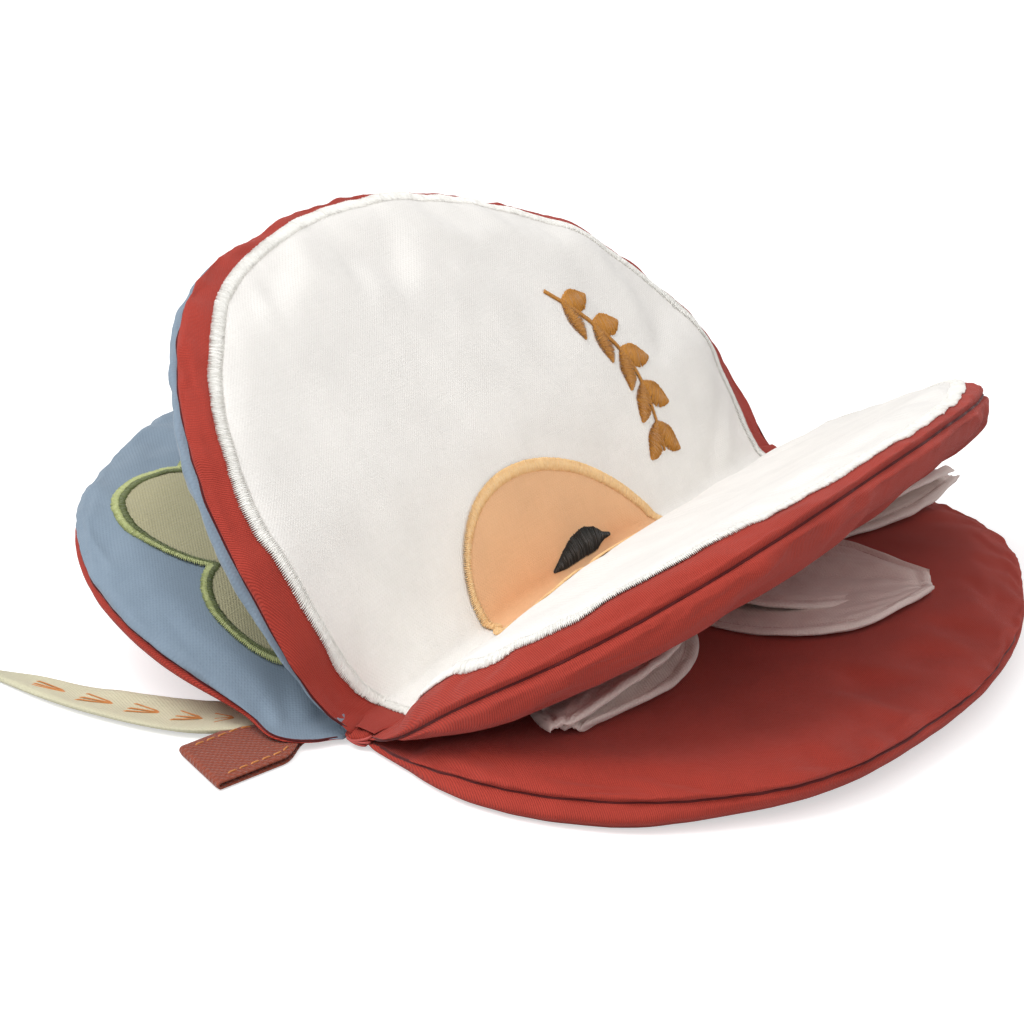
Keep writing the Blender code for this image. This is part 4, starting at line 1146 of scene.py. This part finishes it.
def embroidered(name, leaf, face, fills, lift, material, slot, nodes, seed):
    """Fills is a list of path and widths; every fill is one run of satin stitch."""
    place = page_placer(leaf, face)
    runs = [zigzag(np.asarray(path), widths, FILL_PITCH, lift, place, seed + number,
                   loose=0.03, arch=FILL_ARCH)
            for number, (path, widths) in enumerate(fills)]
    piece = thread_piece(name, runs, FILL_RADIUS, material, slot)
    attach(piece, leaf.name)
    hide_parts(*nodes)


pip_path = smooth(PIP_LINE, np.linspace(0.0, 1.0, 16))
for leaf, face, side in ((LEAF_RIGHT, UPPER_FACE, "right"), (LEAF_LEFT, LOWER_FACE, "left")):
    embroidered("pip_stitches_" + side, leaf, face, [(pip_path, PIP_SHARES * PIP_HALF)], CORE_LIFT + PIP_LIFT,
                PIP_THREAD, "pip_satin", ("pip_" + side,), 41)

# %% Sprig
SPRIG_START, SPRIG_END = np.array((29.0, 63.0)) * MM, np.array((45.0, 17.0)) * MM
SPRIG_BOW, SPRIG_PAIRS = 7.5 * MM, 5
STEM_WIDTHS = np.array((0.5, 0.6, 0.6, 0.4)) * MM
LEAFLET_LENGTH, LEAFLET_WIDTH, LEAFLET_TURN = 11.0 * MM, 6.0 * MM, math.radians(40.0)
LEAFLET_SHARES = np.array((0.1, 0.55, 0.85, 1.0, 0.97, 0.8, 0.5, 0.1))
LEAFLET_BOW = -0.8 * MM


def sprig_stem(share):
    """A point of the sprig's bowed stem and its heading there."""
    run = SPRIG_END - SPRIG_START
    side = np.array((-run[1], run[0])) / np.linalg.norm(run)
    heading = run + side * SPRIG_BOW * math.pi * math.cos(math.pi * share)
    return SPRIG_START + run * share + side * SPRIG_BOW * math.sin(math.pi * share), heading


def sprig_fills():
    stem = np.array([sprig_stem(share)[0] for share in np.linspace(-0.04, 1.0, 12)])
    fills = []
    for pair in range(SPRIG_PAIRS):
        point, heading = sprig_stem((pair + 0.3) / SPRIG_PAIRS)
        for hand in (-1, 1):
            turn = math.atan2(heading[1], heading[0]) + hand * LEAFLET_TURN
            ahead = np.array((math.cos(turn), math.sin(turn)))
            bow = np.array((-ahead[1], ahead[0])) * hand * LEAFLET_BOW
            shares = np.linspace(0.03, 1.0, 9)[:, None]
            path = point + LEAFLET_LENGTH * shares * ahead + bow * np.sin(math.pi * shares)
            fills.append((path, LEAFLET_SHARES * LEAFLET_WIDTH / 2))
    fills.append((stem, STEM_WIDTHS))
    return fills


embroidered("sprig_stitches", LEAF_LEFT, LOWER_FACE, sprig_fills(), FLESH_LIFT + SPRIG_LIFT, OCHRE_THREAD,
            "ochre_satin", ("sprig",), 51)


# %% [markdown]
# ## Bush on the blue spread
# A green cotton shape of round lobes, edged with two shades of green satin stitch. The cloth
# is a grid rolled round a middle point, its rows drawn out to the lobes' outline.

# %% Bush
BUSH_CENTRE = np.array((-62.0, 50.0)) * MM
BUSH_LOBES = np.array(((-71.0, 66.0, 18.8), (-82.0, 38.0, 14.5), (-58.0, 27.0, 15.0), (-38.0, 36.0, 16.0),
                       (-38.0, 58.0, 16.0), (-52.0, 68.0, 15.0))) * MM
BUSH_STEPS, BUSH_RINGS, EDGE_STEPS = 180, 12, 240
BUSH_OVERHANG, EDGE_HALF, EDGE_RADIUS = 0.4 * MM, 0.8 * MM, 0.22 * MM
BUSH_EDGES = (("bush_edge_stitches", GREEN_THREAD, 0.65 * MM, 61),
              ("bush_edge_inner_stitches", DARK_GREEN_THREAD, -0.55 * MM, 62))


def bush_edge(turn):
    """How far the lobes reach from the bush's middle, in each direction."""
    far = np.zeros(len(turn))
    ray = np.column_stack((np.cos(turn), np.sin(turn)))
    for along, out, radius in BUSH_LOBES:
        offset = np.array((along, out)) - BUSH_CENTRE
        ahead = ray @ offset
        room = radius ** 2 - float(offset @ offset) + ahead ** 2
        far = np.maximum(far, np.where(room > 0, ahead + np.sqrt(np.maximum(room, 0.0)), 0.0))
    return far


def bush():
    piece, column, row, _ = grid_piece("bush_cloth", BUSH_STEPS, BUSH_RINGS)
    turn = column / BUSH_STEPS * math.tau
    far = bush_edge(turn) * row / BUSH_RINGS
    flat = BUSH_CENTRE + far[:, None] * np.column_stack((np.cos(turn), np.sin(turn)))
    set_corners(piece, on_page(COVER_LEFT, LOWER_FACE, flat[:, 0], flat[:, 1], FLESH_LIFT))
    lay_uv(piece, flat)
    merge_corners(piece, CLOTH_MERGE)
    dress(piece, GREEN_COTTON, "green_cotton", angle=180.0)
    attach(piece, "cover_left")
    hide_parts("bush")


def bush_edges():
    """Two bands of satin stitch, a light one outside and a dark one inside."""
    turn = np.linspace(0.0, math.tau, EDGE_STEPS + 1)
    far = bush_edge(turn) + BUSH_OVERHANG
    path = BUSH_CENTRE + far[:, None] * np.column_stack((np.cos(turn), np.sin(turn)))
    place = page_placer(COVER_LEFT, LOWER_FACE)
    for name, material, side, number in BUSH_EDGES:
        line = path + side * (path - BUSH_CENTRE) / far[:, None]
        run = zigzag(line, (EDGE_HALF,), SATIN_PITCH, FLESH_LIFT + SATIN_LIFT, place, number, loose=0.09)
        edge = thread_piece(name, [run], EDGE_RADIUS, material, "green_satin")
        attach(edge, "cover_left")
        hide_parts("bush_edge")


bush()
bush_edges()


# %% [markdown]
# ## Loose petals of the red spread
# Each petal is two thin cloths sewn together, turned and topstitched near the edge. It is
# gathered at its sewn root, so soft folds run from there towards the tip.

# %% Petals
PETAL_SHARES = (0.3, 0.6, 0.82, 0.95, 1.0, 0.96, 0.8, 0.5, 0.16)
Petal = namedtuple("Petal", "level label root tip half_width droop")
PETALS = (
    Petal("low", "stem", (-19.5, 25.5), (-91.0, 47.0), 18.0, 0.0),
    Petal("high", "stem", (-19.5, 25.5), (-95.0, 45.0), 17.0, 3.0),
    Petal("low", "middle", (-14.0, 25.5), (17.0, 79.0), 30.0, 0.0),
    Petal("high", "middle", (-5.0, 25.5), (12.0, 63.0), 23.0, 19.0),
    Petal("low", "blossom", (17.0, 25.5), (89.0, 54.0), 14.0, 0.0),
    Petal("high", "blossom", (17.0, 25.5), (84.0, 52.0), 13.0, 5.0),
)
PETAL_HOMES = {"low": (COVER_RIGHT, UPPER_FACE, 0.0), "high": (LEAF_RIGHT, LOWER_FACE, 20.0)}
PETAL_COLUMNS, PETAL_ROWS = 84, 44
PETAL_GAP, PETAL_THICK, ROOT_THICK = 0.5 * MM, 2.3 * MM, 1.0 * MM
PETAL_FOLD, FOLD_SIZE, CREASE_SIZE = 1.9 * MM, 9.0 * MM, 3.0 * MM
PETAL_EDGE, PETAL_SEAM, SEAM_HALF, SEAM_DEEP = 1.1 * MM, 2.9 * MM, 0.55 * MM, 0.75 * MM
INNER_SPAN, PETAL_CURL = 3.0 * MM, 0.9 * MM
PETAL_STITCH, PETAL_GAP_STITCH, PETAL_RADIUS, STITCH_PROUD = 1.9 * MM, 0.5 * MM, 0.14 * MM, 0.04 * MM


def petal_placer(shape, seed):
    """A function that gives flat places and heights on one petal: gathered at the root,
    thick and stitched along the edge."""
    leaf, face, _ = PETAL_HOMES[shape.level]
    root, tip, half_width = np.array(shape.root) * MM, np.array(shape.tip) * MM, shape.half_width * MM
    run = tip - root
    length = float(np.linalg.norm(run))
    across = np.array((-run[1], run[0])) / length

    def place(share, spread, upper):
        half = half_width * smooth(PETAL_SHARES, share)
        flat = root + run * share[:, None] + across * (half * spread)[:, None]
        edge = np.minimum(half * (1.0 - np.abs(spread)), length * np.minimum(share + 0.02, 1.0 - share))
        puff = np.sqrt(np.clip(edge / PETAL_EDGE, 0.0, 1.0))
        inner = ease((edge - PETAL_SEAM) / INNER_SPAN)
        soft = np.column_stack((spread * half_width, share * length))
        grown = ease(1.6 * share)
        fold = 0.5 + 0.6 * waves(soft, FOLD_SIZE, seed, (1.0, 5.0))
        fold = fold + 0.2 * waves(soft, CREASE_SIZE, seed + 4.0, (1.0, 2.0))
        base = crown(leaf, face, flat[:, 1]) + PETAL_GAP
        base = base + (0.3 + 0.7 * grown) * PETAL_FOLD * np.clip(fold, 0.0, 1.3)
        base = base + PETAL_CURL * np.abs(spread) ** 3 * grown
        thick = ROOT_THICK + (PETAL_THICK - ROOT_THICK) * grown
        body = thick * (0.2 + 0.8 * puff) * (0.8 + 0.2 * inner)
        body = body - SEAM_DEEP * hill(edge - PETAL_SEAM, SEAM_HALF) * grown
        return flat, base + thick / 2 + (upper - 0.5) * body + shape.droop * MM * share ** 1.5

    return place, length


def petal_stitches(node, leaf, face, place, half_width):
    """Topstitching on both cloths of a petal, a seam's width inside its edge."""
    marks = np.linspace(0.03, 0.955, 120)
    inset = np.clip(1.0 - PETAL_SEAM / (half_width * smooth(PETAL_SHARES, marks)), 0.0, 1.0)
    runs = []
    for hand in (-1.0, 1.0):
        for upper, proud in ((0, -STITCH_PROUD), (1, STITCH_PROUD)):
            flat, height = place(marks, hand * inset, np.full(len(marks), upper))
            line = bent(leaf, flat[:, 0], flat[:, 1], face * (height + proud))
            runs += running_stitch(line, PETAL_STITCH, PETAL_GAP_STITCH, np.zeros(3))
    return thread_piece(node + "_stitches", runs, PETAL_RADIUS, PETAL_THREAD, "petal_cotton")


def petal(shape, seed):
    leaf, face, _ = PETAL_HOMES[shape.level]
    node = "petal_" + shape.level + "_" + shape.label
    half_width = shape.half_width * MM
    place, length = petal_placer(shape, seed)
    piece, column, row, side = grid_piece(node + "_cloth", PETAL_COLUMNS, PETAL_ROWS, closed=True)
    share, spread = column / PETAL_COLUMNS, 2.0 * row / PETAL_ROWS - 1.0
    spread = np.sign(spread) * np.abs(spread) ** 0.75
    flat, height = place(share, spread, side)
    set_corners(piece, bent(leaf, flat[:, 0], flat[:, 1], face * height))
    lay_uv(piece, flat)
    face_outwards(piece)
    dress(piece, PETAL_COTTON, "petal_cotton", angle=75.0)
    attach(piece, node)
    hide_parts(node)
    stitches = petal_stitches(node, leaf, face, place, half_width)
    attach(stitches, node)
    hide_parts(node)
    area = 2 * half_width * length * float(np.mean(smooth(PETAL_SHARES, np.linspace(0, 1, 50))))


for number, shape in enumerate(PETALS):
    petal(shape, 3.0 * (number // 2) + PETAL_HOMES[shape.level][2])


# %% [markdown]
# ## Spine, stem end and hand stitches
# The four leaves meet on a roll of seam cloth. At its ends the cloth is pinched together and
# closed by hand, with a few thick stitches whose loops catch the light: partly real gloss, and
# partly a painted pink highlight in the thread's light colour.

# %% Spine roll
ROLL_RADIUS, ROLL_PAST, ROLL_CAP = 2.5 * MM, 1.7 * MM, 0.4 * MM
ROLL_END_CUTS = (-1.0 * MM, 0.4 * MM, 2.2 * MM, 4.6 * MM, 7.6 * MM)
SWELL_BACK = (0.0, 0.7 * MM, 2.5 * MM, 6.0 * MM, 14.0 * MM)
SWELL_SHARES = (0.8, 1.25, 1.5, 1.4, 1.0)
ROLL_PLEATS = 7.0


def cut_across(piece, level):
    """A ring of edges round the standing cylinder, so that it can bend."""
    open_all(piece)
    bpy.ops.mesh.bisect(plane_co=(0, 0, level), plane_no=(0, 0, 1))
    bpy.ops.object.mode_set(mode="OBJECT")


def spine_roll():
    """A cylinder along the spine, swollen and pleated where its ends are gathered."""
    bpy.ops.object.select_all(action="DESELECT")
    bpy.ops.mesh.primitive_cylinder_add(vertices=40, radius=ROLL_RADIUS, depth=2 * SPINE_HALF + 2 * ROLL_PAST,
                                        location=(0, 0, 0), end_fill_type="NGON")
    piece = bpy.context.object
    piece.name = piece.data.name = "spine_roll_cloth"
    open_all(piece)
    bpy.ops.mesh.inset(thickness=ROLL_CAP)
    bpy.ops.object.mode_set(mode="OBJECT")
    for number in range(-8, 9):
        cut_across(piece, number * SPINE_HALF / 9)
    for side in (-1, 1):
        for back in ROLL_END_CUTS:
            cut_across(piece, side * (SPINE_HALF - back))
    place = corners_of(piece)
    swell = np.interp(SPINE_HALF + ROLL_PAST - np.abs(place[:, 2]), SWELL_BACK, SWELL_SHARES)
    gathered = (swell - 1.0).clip(0.0, 0.5) / 0.5
    pleat = 1.0 + 0.1 * np.sin(ROLL_PLEATS * np.arctan2(place[:, 1], place[:, 0])) * gathered
    place[:, :2] *= (swell * pleat)[:, None]
    set_corners(piece, sunk(np.column_stack((AXIS[0] + place[:, 0], place[:, 2], AXIS[2] + place[:, 1]))))
    lay_uv(piece, np.column_stack((place[:, 2], place[:, 0])))
    dress(piece, RED_TWILL, "red_twill")
    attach(piece, "cover_right")
    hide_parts("spine_roll")


# %% Hand stitches
LOOP_TILTS = (-0.5, 0.1, 0.65)
LOOP_REACH, LOOP_GROW, LOOP_SHIFT, LOOP_RISE = 2.5 * MM, 0.35 * MM, 0.4 * MM, 1.0 * MM
LOOP_PAST, LOOP_BOW, LOOP_RADIUS = 1.2 * MM, 1.1 * MM, 0.26 * MM


def hand_stitches(name, node, end):
    """Loops of thick thread over the pinched end of the spine."""
    turns = []
    turn = np.linspace(-0.4, math.pi + 0.4, 14)
    for number, tilt in enumerate(LOOP_TILTS):
        reach = LOOP_REACH + LOOP_GROW * number
        x = AXIS[0] + reach * np.cos(turn) * math.cos(tilt) + LOOP_SHIFT * number
        z = AXIS[2] + reach * np.cos(turn) * math.sin(tilt) + (number - 1) * LOOP_RISE
        y = end * (SPINE_HALF + LOOP_PAST + LOOP_BOW * np.sin(turn))
        turns.append(sunk(np.column_stack((x, y, z))))
    piece = thread_piece(name, turns, LOOP_RADIUS, RED_THREAD, "red_thread", sides=3)
    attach(piece, "cover_right")
    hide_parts(node)


spine_roll()
hand_stitches("stem_hand_stitches", "stem_stitches", -1)
hand_stitches("blossom_hand_stitches", "blossom_stitches", 1)


# %% [markdown]
# ## Tape loop and cloth leaf at the stem end
# The loop is a strip of canvas folded double, with a line of orange topstitching along each
# edge. Beside it a small leaf of two cloths has veins stitched in the same thread.

# %% Tape loop
TAPE_THICK, TAPE_HALF, TAPE_ROOT_HALF = 0.7 * MM, 9.6 * MM, 4.6 * MM
TAPE_LENGTH, TAPE_FLARE, TAPE_FOLD = 24.6 * MM, 10.0 * MM, 0.65 * MM
TAPE_ROOT, TAPE_HEADING, TAPE_SLANT = np.array((-14.8, -3.4)) * MM, math.radians(256.0), 2.6 * MM
TABLE_CLEAR = 0.2 * MM
TAPE_STEPS, TAPE_ROWS = 28, 16
TOPSTITCH_IN, TOPSTITCH_START, TOPSTITCH_RADIUS = 2.0 * MM, 6.0 * MM, 0.2 * MM
TOPSTITCH, TOPSTITCH_GAP, TOPSTITCH_PROUD = 2.3 * MM, 0.7 * MM, 0.1 * MM
TOPSTITCH_DIP = np.array((0.0, 0.0, 0.35 * MM))


def tape_place(run, across, height):
    """A point over the table, from the distance to the tape's root and a share across."""
    half = TAPE_ROOT_HALF + (TAPE_HALF - TAPE_ROOT_HALF) * ease(run / TAPE_FLARE)
    ahead = np.array((math.cos(TAPE_HEADING), math.sin(TAPE_HEADING)))
    side = np.array((-ahead[1], ahead[0]))
    run = run + TAPE_SLANT * across * ease(run / TAPE_LENGTH)
    flat = TAPE_ROOT + run[:, None] * ahead + (across * half)[:, None] * side
    return np.column_stack((AXIS[0] + flat[:, 0], flat[:, 1] - SPINE_HALF, height))


def tape_line():
    """Middle line of the folded tape: out along the table, round the fold and back."""
    low = np.full(TAPE_STEPS, TABLE_CLEAR + TAPE_THICK / 2)
    runs = np.linspace(0.0, TAPE_LENGTH, TAPE_STEPS)
    turn = np.linspace(0.0, math.pi, 12)[1:-1]
    fold = np.column_stack((TAPE_LENGTH + TAPE_FOLD * np.sin(turn), low[0] + TAPE_FOLD * (1 - np.cos(turn))))
    under = np.column_stack((runs, low))
    over = np.column_stack((runs, low + 2 * TAPE_FOLD))[::-1]
    return np.vstack((under, fold, over))


def tape_loop():
    line = tape_line()
    piece, column, row, side = grid_piece("tape_loop_canvas", len(line) - 1, TAPE_ROWS, closed=True)
    across = 2.0 * row / TAPE_ROWS - 1.0
    edge = 1.0 - 0.5 * np.clip((np.abs(across) - 0.86) / 0.14, 0, 1) ** 2
    spot = line[column] + left_of(line)[column] * (TAPE_THICK * (side - 0.5) * edge)[:, None]
    set_corners(piece, tape_place(spot[:, 0], across, spot[:, 1]))
    lay_uv(piece, np.column_stack((lengths(line)[column], across * TAPE_HALF)))
    face_outwards(piece)
    dress(piece, TAPE_CANVAS, "tape_canvas", angle=50.0)
    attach(piece, "tape")
    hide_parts("tape_loop")
    top = line[-TAPE_STEPS:][::-1]
    top = top[top[:, 0] > TOPSTITCH_START]
    runs = []
    for hand in (-1.0, 1.0):
        share = np.full(len(top), hand * (1.0 - TOPSTITCH_IN / TAPE_HALF))
        seam = tape_place(top[:, 0], share, top[:, 1] + TAPE_THICK / 2 + TOPSTITCH_PROUD)
        runs += running_stitch(seam, TOPSTITCH, TOPSTITCH_GAP, TOPSTITCH_DIP)
    threads = thread_piece("tape_topstitch_thread", runs, TOPSTITCH_RADIUS, ORANGE_THREAD,
                           "orange_thread", sides=2)
    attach(threads, "tape")
    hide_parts("tape_topstitch")


tape_loop()

# %% Cloth leaf
LEAF_LINE = np.array(((-14.0, 4.0), (-25.0, -2.0), (-37.0, -9.5), (-60.0, -13.0), (-88.5, -12.6))) * MM
LEAF_HALF, LEAF_CLOTH, LEAF_SEAM = 7.6 * MM, 0.6 * MM, 0.3 * MM
LEAF_SHARES = (0.26, 0.36, 0.6, 0.9, 1.0, 0.97, 0.86, 0.72, 0.52, 0.2)
LEAF_RISE, LEAF_DROP, LEAF_CUP = 0.8 * MM, 18.0 * MM, 1.0 * MM
LEAF_STEPS, LEAF_ROWS, LEAF_RUN = 60, 14, 80.0 * MM
CRUMPLE, CRUMPLE_SIZE = 0.35 * MM, 7.0 * MM
VEIN_PAIRS, VEIN_RADIUS, VEIN_PROUD = 5, 0.16 * MM, 0.15 * MM
VEIN_DIP = np.array((0.0, 0.0, 0.4 * MM))
VEIN_SHARES = ((-1.0, 0.3), (0.1, 0.9), (1.0, 0.4))
LEAF_LENGTH = float(lengths(LEAF_LINE)[-1])


def leaf_place(share, across, height):
    """A point over the table, from shares along and across the cloth leaf."""
    flat = smooth(LEAF_LINE, share)
    run = smooth(LEAF_LINE, share + 0.002) - smooth(LEAF_LINE, share - 0.002)
    side = np.column_stack((-run[:, 1], run[:, 0])) / np.linalg.norm(run, axis=1)[:, None]
    half = LEAF_HALF * smooth(LEAF_SHARES, share)
    flat = flat + (across * half)[:, None] * side
    rise = LEAF_RISE * (1.0 - ease(share * LEAF_LENGTH / LEAF_DROP))
    cup = LEAF_CUP * (half / LEAF_HALF) * across ** 2
    return np.column_stack((AXIS[0] + flat[:, 0], flat[:, 1] - SPINE_HALF, TABLE_CLEAR + rise + cup + height))


def stem_leaf():
    piece, column, row, side = grid_piece("stem_leaf_cloth", LEAF_STEPS, LEAF_ROWS, closed=True)
    share, across = column / LEAF_STEPS, 2.0 * row / LEAF_ROWS - 1.0
    flat = np.column_stack((share * LEAF_RUN, across * LEAF_HALF))
    thick = 2 * LEAF_CLOTH + LEAF_SEAM
    edge = np.sqrt(np.clip(1.0 - np.abs(across) ** 6, 0.0, 1.0)) * 0.75 + 0.25
    crumple = waves(flat, CRUMPLE_SIZE, 4.4) * CRUMPLE
    height = thick / 2 + (side - 0.5) * thick * edge + crumple * side
    set_corners(piece, leaf_place(share, across, height))
    lay_uv(piece, flat)
    face_outwards(piece)
    dress(piece, LEAF_COTTON, "leaf_cotton", angle=60.0)
    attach(piece, "stem_leaf")
    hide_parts("stem_leaf_under", "stem_leaf_upper")
    runs = []
    for pair in range(VEIN_PAIRS):
        start = 0.34 + 0.6 * pair / VEIN_PAIRS
        for hand, reach in VEIN_SHARES:
            marks = np.linspace(0.02, reach, 8)
            vein = leaf_place(start + 0.09 * marks / reach, hand * marks, thick + VEIN_PROUD)
            vein[[0, -1]] -= VEIN_DIP
            runs.append(vein)
    veins = thread_piece("stem_leaf_vein_thread", runs, VEIN_RADIUS, ORANGE_THREAD, "orange_thread", sides=2)
    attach(veins, "stem_leaf")
    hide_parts("stem_leaf_veins")
    area = 2 * LEAF_HALF * LEAF_LENGTH * float(np.mean(smooth(LEAF_SHARES, np.linspace(0, 1, 50))))


stem_leaf()
